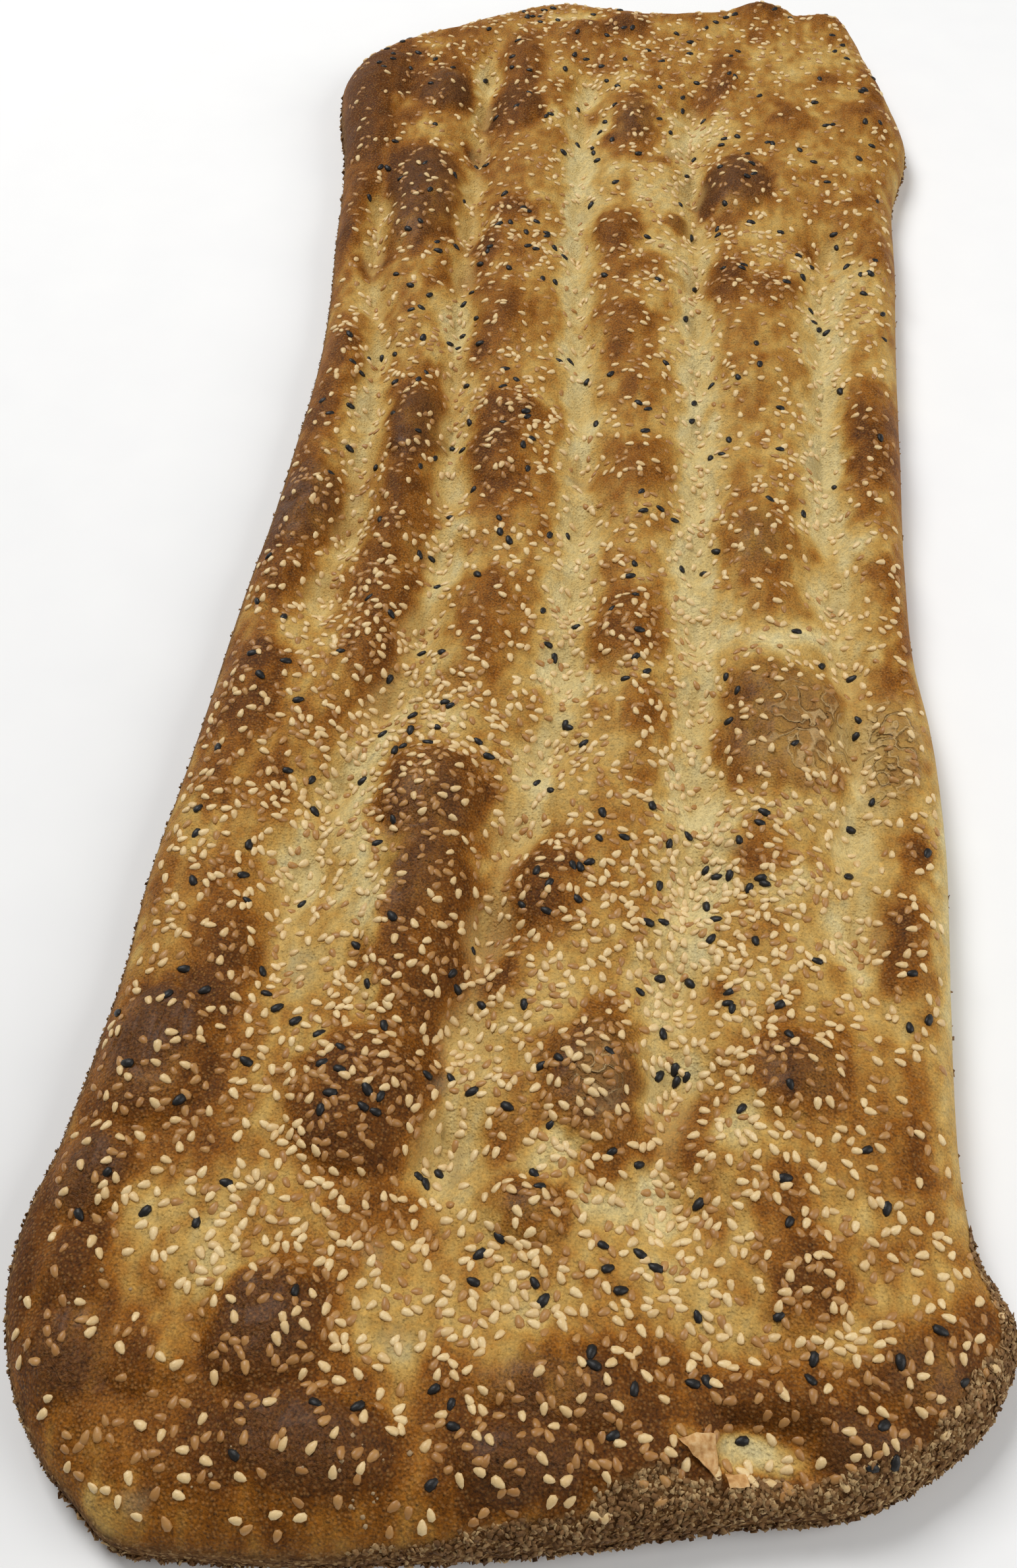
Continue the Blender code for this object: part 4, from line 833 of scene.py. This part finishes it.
rim = [e for e in bm.edges if e.is_boundary]
for step in range(RIM_STEPS):
    grown = bmesh.ops.extrude_edge_only(bm, edges=rim)["geom"]
    ring = [g for g in grown if isinstance(g, bmesh.types.BMVert)]
    rim = [g for g in grown if isinstance(g, bmesh.types.BMEdge)]
    before, after = (math.pi / 2 * k / RIM_STEPS for k in (step, step + 1))
    tuck = BASE_INSET * (math.cos(before) - math.cos(after))
    level = WIDEST_HEIGHT * (1 - math.sin(after))
    flat = np.array([v.co[:2] for v in ring]) / MM
    none = np.zeros(len(flat))
    baked_rim = browning(flat[:, 0], flat[:, 1], none, none)
    bran_rim = bran_cover(flat[:, 0], flat[:, 1], none)
    for vert, place, way, bake, bran in zip(ring, flat, inward_of(flat), baked_rim, bran_rim):
        vert.co = (*((place + tuck * way) * MM), level * MM)
        vert[layers["bake"]] = bake
        vert[layers["bran"]] = bran
bmesh.ops.contextual_create(bm, geom=rim)
bmesh.ops.recalc_face_normals(bm, faces=bm.faces[:])
for face in bm.faces:
    face.smooth = True
crust_tree = BVHTree.FromBMesh(bm)
crust_mesh = bpy.data.meshes.new("crust")
bm.to_mesh(crust_mesh)
bm.free()
crust = placed("crust", crust_mesh)
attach(crust, BODY)
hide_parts(NODE)
print("crust:", len(crust_mesh.polygons), "faces, top at", round(float(height.max()), 1), "mm")

# %% [markdown]
# ## What the crust looks like
# Baked crust runs from cream through gold and amber to dark brown, and its dark parts are
# freckled with tiny pale bubbles. One ramp turns the browning into colour, with noise at three
# scales breaking up its edges. The toffee skins are smoother and glossier, with creases. Where
# a thin skin sank back, long folds have a painted highlight on their crests and painted shade in
# their dips, besides their bump. Bran is a rough mosaic of flakes. Mixing several shaders would
# also do, but a single shader whose inputs change is simpler to bake and to read.

# %% Crust finish
BAKED_COLOURS = [
    (0.00, srgb(220, 203, 150)), (0.15, srgb(212, 188, 127)), (0.30, srgb(202, 167, 97)),
    (0.42, srgb(191, 150, 77)), (0.55, srgb(169, 120, 51)), (0.70, srgb(142, 88, 25)),
    (0.85, srgb(112, 64, 10)), (1.00, srgb(89, 49, 8)),
]
TOFFEE_COLOURS = [
    (0.00, srgb(206, 180, 116)), (0.45, srgb(176, 138, 66)), (0.60, srgb(153, 114, 50)),
    (0.75, srgb(134, 92, 38)), (0.90, srgb(112, 71, 31)), (1.00, srgb(93, 58, 27)),
]
GROOVE_TINT = srgb(215, 188, 122)
PIMPLE_COLOUR = srgb(188, 137, 78)
THIN_TINT = srgb(150, 138, 106)
FOLD_SKIN = srgb(192, 150, 88)
# Painted highlight on the folds' crests, and painted shade in their dips
FOLD_CREST_PAINTED_HIGHLIGHT = srgb(222, 192, 140)
FOLD_DIP_PAINTED_SHADE = srgb(132, 88, 40)
BRAN_COLOURS = [
    (0.0, srgb(58, 35, 17)), (0.35, srgb(98, 65, 33)), (0.7, srgb(138, 101, 60)),
    (1.0, srgb(194, 162, 114)),
]

baked = Finish("baked_crust", roughness=0.62, specular_ior_level=0.14, coat_roughness=0.25)
bake = baked.attribute("bake")
skin = baked.attribute("toffee")
valley = baked.attribute("groove")
bran = baked.attribute("bran")
thin = baked.attribute("thin")
folded = baked.attribute("folded")
broad = baked.noise(9.0, detail=3.0) - 0.5
mottle = baked.noise(2.2, detail=4.0, roughness=0.6) - 0.5
grit = baked.noise(0.7, detail=2.0) - 0.5
pimple = baked.cells(1.2)
raised = (1 - pimple.between(0.08, 0.55)) * (1 - skin * 0.5)
tone = bake + broad * 0.16 + mottle * 0.26
colour = baked.ramp(tone, BAKED_COLOURS)
colour = baked.mix(skin * 0.65, colour, baked.ramp(tone, TOFFEE_COLOURS))
speckled = 1 + mottle * 1.2 + grit * (0.9 + bake.between(0.35, 0.85) * 1.7)
colour = baked.mix(1.0, colour, speckled, blend="MULTIPLY")
# Wavy bands for the folds: a painted highlight on the crests and painted shade in the dips, besides
# their bump
waves = baked.noise(7.0, detail=0.6, distortion=0.8)
crests = waves.between(0.40, 0.47) * (1 - waves.between(0.48, 0.55))
dips = waves.between(0.52, 0.57) * (1 - waves.between(0.58, 0.63))
for share, tint in [
        (raised * bake.between(0.35, 0.75) * 0.34, PIMPLE_COLOUR),
        (valley.between(0.6, 1.0) * 0.35, GROOVE_TINT),
        (thin * 0.4, THIN_TINT),
        (folded * 0.35, FOLD_SKIN),
        # painted highlight on the fold crests and painted shade in the fold dips
        (folded * crests * 0.45, FOLD_CREST_PAINTED_HIGHLIGHT),
        (folded * dips * 0.45, FOLD_DIP_PAINTED_SHADE)]:
    colour = baked.mix(share, colour, tint)
flake = baked.cells(1.0, out="Color")
flake_shade = baked.node("ShaderNodeSeparateColor", {}, {"Color": flake}, out=0)
bran_tone = flake_shade * 0.7 + mottle * 0.8 + 0.15
colour = baked.mix(bran, colour, baked.ramp(bran_tone, BRAN_COLOURS))
rough = 0.60 - skin * 0.16 + bran * 0.35 + mottle * 0.3
creases = baked.noise(2.6, detail=3.0, distortion=2.2)
normal = None
for relief, depth in [(grit, 0.20), (mottle, 0.65), (raised, 0.22), (creases * skin, 0.6),
                      (folded * (crests - dips), 0.5), (flake_shade * bran, 0.7)]:
    normal = baked.bump(relief, depth, before=normal)
crust_mesh.materials.append(baked.wear(
    Base_Color=colour, Roughness=rough, Coat_Weight=skin * 0.05, Normal=normal))
print("crust finish:", len(baked.tree.nodes), "nodes")

# %% [markdown]
# ## Seeds
# Thousands of seeds can't each be placed by hand. A rule draws places at random, with more
# where the baker's hand dropped more, and keeps a place if it is clear of those before it. The
# largest seeds come first, by the same draws as the solid's fused ones. One seed is modelled,
# and numpy repeats its points at every place, turned to lie on the crust: thousands of
# separate objects would be slow, and instances wouldn't reach the exported mesh.

# %% Where the seeds fell
# Half length, half width and half thickness of a seed, and how much it narrows to its tip
BLACK_SEED = (2.12, 1.31, 0.82, 0.24)
PALE_SEED = (1.88, 1.16, 0.63, 0.36)
SEEDS_FUSED = 112
FUSED_SPACING = 11.0
FUSED_EDGE_CLEARANCE = 12.0
LOOSE_SPACING = 2.0
LOOSE_EDGE_CLEARANCE = 5.0
BLACK_COUNT = 480
PALE_COUNT = 6600
# The field that seeds are drawn in, and the highest weight that a place there can need
SEED_FIELD_X, SEED_FIELD_Y = (-165, 140), (-395, 415)
TOP_SEED_WEIGHT = 3.6
# How many of the loose pale seeds fell on the far half, as a share of those on the near half
FAR_SHARE = 0.48
FAR_SHARE_RUN = (-150, 150)
# Middle x and y, half width, half length, and how many more loose pale seeds fell there
NEAR_SHARES = [(36, -340, 30, 15, -0.55), (-40, -350, 70, 26, 0.9), (20, -312, 90, 14, 0.4)]
# Middle x and y, radius, and how many more or fewer seeds fell there
SEED_CLUMPS = [
    (-62, -295, 30, 1.6), (-38, -250, 24, 2.2), (-40, -140, 26, 2.0), (42, -190, 34, 2.2),
    (66, -182, 20, 1.8), (85, -325, 24, 0.9), (18, -330, 26, 0.9), (-82, -88, 24, 1.4),
    (-42, 42, 24, 1.6), (-90, 78, 24, 1.5), (-50, 172, 22, 2.4), (72, 152, 26, 1.8),
    (28, 252, 26, 1.8), (-62, 378, 24, 1.6), (-6, 338, 24, 1.8), (8, 136, 24, 1.2),
    (68, -226, 24, 1.5), (20, -82, 24, 1.4), (-80, -190, 34, 0.8), (10, -240, 34, 1.2),
    (40, -290, 40, 1.0), (30, 300, 24, 1.2),
]
SEED_GAPS = [(-108, -345, 44, 0.75), (112, -110, 30, 0.7), (88, -50, 26, 0.4),
             (-140, 260, 34, 0.7), (112, 300, 40, 0.5), (-20, -372, 50, 0.6)]


def near_round(x, y, cx, cy, radius):
    """1 at a round spot's middle, fading away round it."""
    return math.exp(-((x - cx) ** 2 + (y - cy) ** 2) / radius**2)


def with_clumps(weight, x, y, clumps, gaps):
    """The weight of a place, more in the clumps and less in the gaps."""
    for *spot, extra in clumps:
        weight += extra * near_round(x, y, *spot)
    for *spot, loss in gaps:
        weight *= 1 - loss * near_round(x, y, *spot)
    return weight


def seed_weight(x, y):
    """How likely a seed is to have fallen at a place, from the clumps and gaps."""
    weight = 1.0 + 0.7 * noise.noise(Vector((x / 30, y / 30, 7.0)))
    weight += 0.9 * noise.noise(Vector((x / 9, y / 9, 8.0)))
    return max(with_clumps(weight, x, y, SEED_CLUMPS, SEED_GAPS), 0.06)


def inside(x, y):
    """Whether a place is within the outline, by counting the crossings to its right."""
    ax, ay = OUTLINE.T
    bx, by = np.roll(OUTLINE, -1, 0).T
    spans = (ay > y) != (by > y)
    crossing = ax[spans] + (y - ay[spans]) * (bx[spans] - ax[spans]) / (by[spans] - ay[spans])
    return np.count_nonzero(crossing > x) % 2 == 1


def scatter_seeds(rng, count, spacing, clearance, taken, far_share=1.0, near_shares=()):
    """Draws seed places by their weight, each clear of the edge and of those before it."""
    found = []
    while len(found) < count:
        x, y = rng.uniform(*SEED_FIELD_X), rng.uniform(*SEED_FIELD_Y)
        share = 1 - (1 - far_share) * fade(y, *FAR_SHARE_RUN)
        for *mark, more in near_shares:
            share *= 1 + more * near_place(x, y, *mark)
        if rng.uniform(0, TOP_SEED_WEIGHT) > seed_weight(x, y) * share or not inside(x, y):
            continue
        if ((OUTLINE - (x, y)) ** 2).sum(1).min() < clearance**2:
            continue
        if taken and ((np.array(taken) - (x, y)) ** 2).sum(1).min() < spacing**2:
            continue
        taken.append((x, y))
        found.append((x, y, rng.uniform(0, 2 * math.pi)))
    return found


rng = random.Random(11)
taken = []
large = scatter_seeds(rng, SEEDS_FUSED, FUSED_SPACING, FUSED_EDGE_CLEARANCE, taken)
black_places = [place for number, place in enumerate(large) if number % 3 != 2]
pale_places = [place for number, place in enumerate(large) if number % 3 == 2]
black_places += scatter_seeds(rng, BLACK_COUNT - len(black_places), LOOSE_SPACING,
                              LOOSE_EDGE_CLEARANCE, taken)
pale_places += scatter_seeds(rng, PALE_COUNT - len(pale_places), LOOSE_SPACING,
                             LOOSE_EDGE_CLEARANCE, taken, FAR_SHARE, NEAR_SHARES)
print("seeds:", len(black_places), "black,", len(pale_places), "pale")


# %% One seed
SEED_SIDES = 8
SEED_RINGS = 4
SEED_SINK = 0.15
SEED_TILT = 0.16
SEED_SPREAD = 0.12
# A seed is toasted by the crust's browning and by chance. A toasted one lies deeper in the crust.
TOASTED_BY_CRUST = 0.45
TOASTED_BY_CHANCE = 0.72
TOASTED_FROM = 0.68
TOASTED_SINK = 0.34
ABOVE_LOAF = 80


def points_and_faces(bm):
    """A finished shape as an array of points and a list of faces."""
    bm.verts.ensure_lookup_table()
    points = np.array([v.co[:] for v in bm.verts])
    faces = [[v.index for v in f.verts] for f in bm.faces]
    bm.free()
    return points, faces


def drop_shape(length, width, thickness, narrowing):
    """A drop-shaped seed lying along X, its narrow tip toward +X."""
    bm = bmesh.new()
    bmesh.ops.create_uvsphere(bm, u_segments=SEED_SIDES, v_segments=SEED_RINGS, radius=1)
    for vert in bm.verts:
        x, y, z = vert.co.z, vert.co.x, vert.co.y
        taper = 1 - narrowing * x + 0.06 * x * x
        vert.co = (x * length, y * width * taper, z * thickness * taper)
    bmesh.ops.recalc_face_normals(bm, faces=bm.faces[:])
    return points_and_faces(bm)


# %% Many of one shape, laid on the crust
def standing_on(normal, turn, tilt, rng):
    """A frame whose Z is the crust's own slope, tilted a little, as three unit columns."""
    normal = (normal + Vector([rng.uniform(-tilt, tilt) for _ in range(3)])).normalized()
    heading = Vector((math.cos(turn), math.sin(turn), 0))
    across = normal.cross(heading).normalized()
    return np.array([across.cross(normal), across, normal]).T


def strewn(name, shape, settings, finish):
    """One mesh that repeats a shape. Each setting is a place, a frame, a size and a tone."""
    points, faces = shape
    every = []
    tones = []
    for place, columns, size, shade in settings:
        every.append(points @ (columns * size).T * MM + np.array(place))
        tones.append(np.full(len(points), shade))
    corners = [[v + n * len(points) for v in face] for n in range(len(settings)) for face in faces]
    mesh = bpy.data.meshes.new(name)
    mesh.from_pydata(np.concatenate(every).tolist(), [], corners)
    mesh.attributes.new("shade", "FLOAT", "POINT").data.foreach_set("value", np.concatenate(tones))
    mesh.shade_smooth()
    mesh.materials.append(finish)
    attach(placed(name, mesh), BODY)
    print(name + ":", len(settings), "pieces,", len(mesh.polygons), "faces")


def local_browning(places):
    """How baked the crust is under each place."""
    x, y = np.array(places)[:, :2].T
    return browning(x, y, groove_depth(x, y) / GROOVE_DEPTH, edge_distance(x, y))


def crust_below(x, y):
    """Where a line straight down at a place meets the crust, and the crust's slope there."""
    return crust_tree.ray_cast(Vector((x, y, ABOVE_LOAF)) * MM, Vector((0, 0, -1)))[:2]


def on_crust(places, rng, sink, tilt=SEED_TILT, spread=SEED_SPREAD):
    """Lays each place on the crust and gives its frame, its size and how toasted it is."""
    laid = []
    for (x, y, turn), bake in zip(places, local_browning(places)):
        point, normal = crust_below(x, y)
        if point is None:
            continue
        columns = standing_on(normal, turn, tilt, rng)
        size = 1 + rng.uniform(-spread, spread)
        toasted = TOASTED_BY_CRUST * bake + rng.uniform(0, TOASTED_BY_CHANCE)
        above = sink - TOASTED_SINK * float(fade(toasted, 0.55, 1.0))
        laid.append((point + normal * above * MM, columns, size, toasted))
    return laid


# %% Seed finishes
def sesame_finish(name, light, deep):
    """A hull that goes from light to deep as a seed is more toasted, with faint streaks."""
    hull = Finish(name, roughness=0.42, specular_ior_level=0.45)
    shade = hull.attribute("shade")
    streak = hull.noise(0.5, detail=2.0)
    colour = hull.mix(shade.between(0.15, 1.1), light, deep)
    colour = hull.mix(streak.between(0.4, 0.75) * 0.35, colour, deep)
    return hull.wear(Base_Color=colour, Normal=hull.bump(streak, 0.05))


pale_finish = sesame_finish("pale_sesame", srgb(242, 214, 160), srgb(206, 165, 103))
toasted_finish = sesame_finish("toasted_sesame", srgb(214, 168, 104), srgb(168, 118, 62))
charcoal = Finish("black_seed_hull", roughness=0.45, specular_ior_level=0.32)
ridges = charcoal.noise(0.35, detail=2.0)
black_finish = charcoal.wear(
    Base_Color=charcoal.mix(ridges, srgb(17, 17, 18), srgb(42, 40, 38)),
    Normal=charcoal.bump(ridges, 0.06))

# %% Seeds on the crust
rng = random.Random(23)
pale_shape = drop_shape(*PALE_SEED)
strewn("black_seeds", drop_shape(*BLACK_SEED), on_crust(black_places, rng, SEED_SINK), black_finish)
laid = on_crust(pale_places, rng, SEED_SINK)
strewn("pale_sesame", pale_shape, [s for s in laid if s[3] < TOASTED_FROM], pale_finish)
strewn("toasted_sesame", pale_shape, [s for s in laid if s[3] >= TOASTED_FROM], toasted_finish)

# %% [markdown]
# ## Bran and flour
# The loaf bakes on a floor dusted with bran, which sticks to its flank. The crust's material
# already has bran's colours, and here the bran gets its true shape, because it roughens the
# loaf's outline. Each bit is a thin bent chip. On the steep flank a line from above would miss,
# so a chip there is laid against the nearest crust and faces outward from the outline. Where
# bran reaches over the edge, a line from above finds the crust, as it does for the seeds. A few
# grains of dried flour paste lie on the dark near end.

# %% Bran chips
CHIP_RADIUS = 0.62
CHIP_THICKNESS = 0.16
CHIP_SIDES = 6
CHIP_BEND = 0.35
CHIP_RAGGEDNESS = 0.3
# Chips on the flank, and those that cling further up
FRINGE_COUNT = 4400
BAND_COUNT = 2600
FRINGE_HEIGHT = 7.5
LEFT_FRINGE_HEIGHT = 13.0
LOWEST_CHIP = 3.0
TOP_FRINGE_WEIGHT = 4
FRINGE_TILT = 1.1
# The field at the near end that is searched for places where bran clings
BAND_FIELD_X, BAND_FIELD_Y = (-25, 143), (-392, -285)
BAND_TRIES = 9
BAND_TILT = 0.6
BAND_SPREAD = 0.65
CHIP_SINK = 0.1
# How much bran covers a place for chips to cling there
CLINGING_FROM = 0.4
# Middle x and y, radius, and how much more bran the flank has there
FRINGE_CLUMPS = [(60, -368, 60, 3.0), (134, -330, 30, 3.0), (-128, -250, 80, 2.6),
                 (-130, 40, 90, 1.0), (-60, -388, 40, 0.8), (-160, 300, 50, 0.4)]
BARE_FLANKS = [(131, -160, 110, 0.85), (128, 120, 120, 0.7)]


def chip_shape():
    """A thin chip with a ragged rim, bent a little."""
    bm = bmesh.new()
    bmesh.ops.create_circle(bm, cap_ends=True, segments=CHIP_SIDES, radius=CHIP_RADIUS)
    for number, vert in enumerate(bm.verts):
        vert.co *= 1 + CHIP_RAGGEDNESS * math.cos(2.4 * number)
        vert.co.z = CHIP_BEND * vert.co.x**2 / CHIP_RADIUS
    thick = bmesh.ops.extrude_face_region(bm, geom=bm.faces[:])["geom"]
    raised = [g for g in thick if isinstance(g, bmesh.types.BMVert)]
    bmesh.ops.translate(bm, verts=raised, vec=(0, 0, CHIP_THICKNESS))
    bmesh.ops.recalc_face_normals(bm, faces=bm.faces[:])
    return points_and_faces(bm)


def fringe(rng, count):
    """Chips all round the flank, more where the bran is thick. None is under the tucked edge."""
    laid = []
    outward = -inward_of(OUTLINE)
    while len(laid) < count:
        spot = rng.randrange(len(OUTLINE))
        x, y = OUTLINE[spot]
        if rng.uniform(0, TOP_FRINGE_WEIGHT) > with_clumps(1.0, x, y, FRINGE_CLUMPS, BARE_FLANKS):
            continue
        high = x < -100 and y < 200
        height = (LEFT_FRINGE_HEIGHT if high else FRINGE_HEIGHT) * rng.random() ** 1.5
        outside = Vector((x + rng.uniform(-2, 2), y + rng.uniform(-2, 2), height)) * MM
        point, _, _, _ = crust_tree.find_nearest(outside)
        if point.z < LOWEST_CHIP * MM:
            continue
        normal = Vector((*outward[spot], 0.1 * (point.z / MM - WIDEST_HEIGHT))).normalized()
        columns = standing_on(normal, rng.uniform(0, 2 * math.pi), FRINGE_TILT, rng)
        lift = max(0.2, CHIP_RADIUS - point.z / MM)
        size = 0.40 + (0.8 if high else 1.7) * rng.random() ** 2
        laid.append((point + Vector((0, 0, lift * MM)), columns, size, rng.random()))
    return laid


def band(rng, count):
    """Chips where the bran reaches up over the edge."""
    tries = [(rng.uniform(*BAND_FIELD_X), rng.uniform(*BAND_FIELD_Y), rng.uniform(0, 2 * math.pi))
             for _ in range(count * BAND_TRIES)]
    x, y = np.array(tries)[:, :2].T
    clinging = bran_cover(x, y, edge_distance(x, y)) > CLINGING_FROM
    chosen = [place for place, clings in zip(tries, clinging) if clings and inside(*place[:2])]
    return on_crust(chosen[:count], rng, CHIP_SINK, tilt=BAND_TILT, spread=BAND_SPREAD)


bran_finish = Finish("bran", roughness=0.75, specular_ior_level=0.3)
bran_grain = bran_finish.noise(0.5, detail=2.0)
bran_look = bran_finish.wear(Base_Color=bran_finish.ramp(
    bran_finish.attribute("shade") * 0.8 + bran_grain * 0.4, BRAN_COLOURS))
rng = random.Random(41)
strewn("bran_flakes", chip_shape(), fringe(rng, FRINGE_COUNT) + band(rng, BAND_COUNT), bran_look)

# %% Flour grains on the dark near end
GRAIN_COUNT = 46
GRAIN_RADIUS = 0.55
GRAIN_FLATNESS = 0.6
GRAIN_SINK = 0.1
GRAIN_SPREAD = 0.5
# Middle x and y, half width and half length of the patches that have grains
GRAIN_PATCHES = [(-26, -366, 16, 8), (-55, -372, 30, 8), (-108, -340, 14, 24), (-20, -374, 10, 5),
                 (60, -366, 50, 6)]


def grain_shape():
    """A small lump of flour paste."""
    bm = bmesh.new()
    bmesh.ops.create_icosphere(bm, subdivisions=1, radius=GRAIN_RADIUS)
    for number, vert in enumerate(bm.verts):
        vert.co *= 1 + 0.3 * math.sin(5.1 * number)
        vert.co.z *= GRAIN_FLATNESS
    return points_and_faces(bm)


grain_places = []
for number in range(GRAIN_COUNT):
    cx, cy, half_width, half_length = GRAIN_PATCHES[number % len(GRAIN_PATCHES)]
    x, y = rng.gauss(cx, half_width / 2), rng.gauss(cy, half_length / 2)
    if inside(x, y):
        grain_places.append((x, y, rng.uniform(0, 2 * math.pi)))
flour = Finish("flour_paste", roughness=0.7, specular_ior_level=0.3)
flour_look = flour.wear(
    Base_Color=flour.mix(flour.noise(0.8), srgb(186, 162, 124), srgb(150, 116, 78)))
strewn("flour_grains", grain_shape(), on_crust(grain_places, rng, GRAIN_SINK, spread=GRAIN_SPREAD),
       flour_look)

# %% [markdown]
# ## The torn flakes
# At the near end the crust tore, and two flakes of it stand off beside the pale hollow. Cloth
# could be simulated, but baked crust is stiff. So each flake is one flat face between a few
# corners, cut up finely. Its points are lifted off the crust, most in the middle, and it is then
# given a thickness.

# %% Flakes of crust
# Each flake's corners, and how far its middle stands off the crust
FLAKES = [
    ([(52.0, -351.5), (61.5, -348.5), (63.5, -359.5)], 2.2),
    ([(64.5, -357.2), (69.8, -356.6), (70.6, -359.2), (66.0, -360.4)], 1.5),
]
FLAKE_CURL = 1.8
FLAKE_THICKNESS = 0.7
FLAKE_CUTS = 7
FLAKE_CLEARANCE = 0.3

torn_mesh = bpy.data.meshes.new("crust_flake")
joined = bmesh.new()
for outline, rise in FLAKES:
    bm = bmesh.new()
    bm.faces.new([bm.verts.new((x, y, 0)) for x, y in outline])
    bmesh.ops.subdivide_edges(bm, edges=bm.edges[:], cuts=FLAKE_CUTS, use_grid_fill=True)
    middle = np.mean(outline, axis=0)
    for vert in bm.verts:
        x, y = vert.co.x, vert.co.y
        x += 0.5 * noise.noise(Vector((x / 2.5, y / 2.5, 71.0)))
        y += 0.5 * noise.noise(Vector((x / 2.5, y / 2.5, 72.0)))
        below, _ = crust_below(x, y)
        away = math.hypot(x - middle[0], y - middle[1])
        lift = rise - FLAKE_CURL * (away / 6) ** 2 + 0.2 * noise.noise(Vector((x / 2, y / 2, 73.0)))
        vert.co = (x * MM, y * MM, below.z + max(lift, FLAKE_CLEARANCE) * MM)
    bm.normal_update()
    bmesh.ops.reverse_faces(bm, faces=[f for f in bm.faces if f.normal.z < 0])
    bmesh.ops.solidify(bm, geom=bm.faces[:], thickness=FLAKE_THICKNESS * MM)
    bmesh.ops.recalc_face_normals(bm, faces=bm.faces[:])
    bm.to_mesh(torn_mesh)
    bm.free()
    joined.from_mesh(torn_mesh)
joined.to_mesh(torn_mesh)
joined.free()
torn_mesh.shade_smooth()
torn_mesh.set_sharp_from_angle(angle=math.radians(50))
torn = Finish("torn_crust", roughness=0.6, specular_ior_level=0.25)
streaks = torn.noise(1.6, detail=3.0)
torn_mesh.materials.append(torn.wear(
    Base_Color=torn.ramp(streaks, [(0.3, srgb(182, 130, 74)), (0.5, srgb(214, 166, 106)),
                                   (0.7, srgb(230, 192, 138))]),
    Normal=torn.bump(streaks, 0.3)))
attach(placed("crust_flake", torn_mesh), BODY)
print("crust_flake:", len(torn_mesh.polygons), "faces")
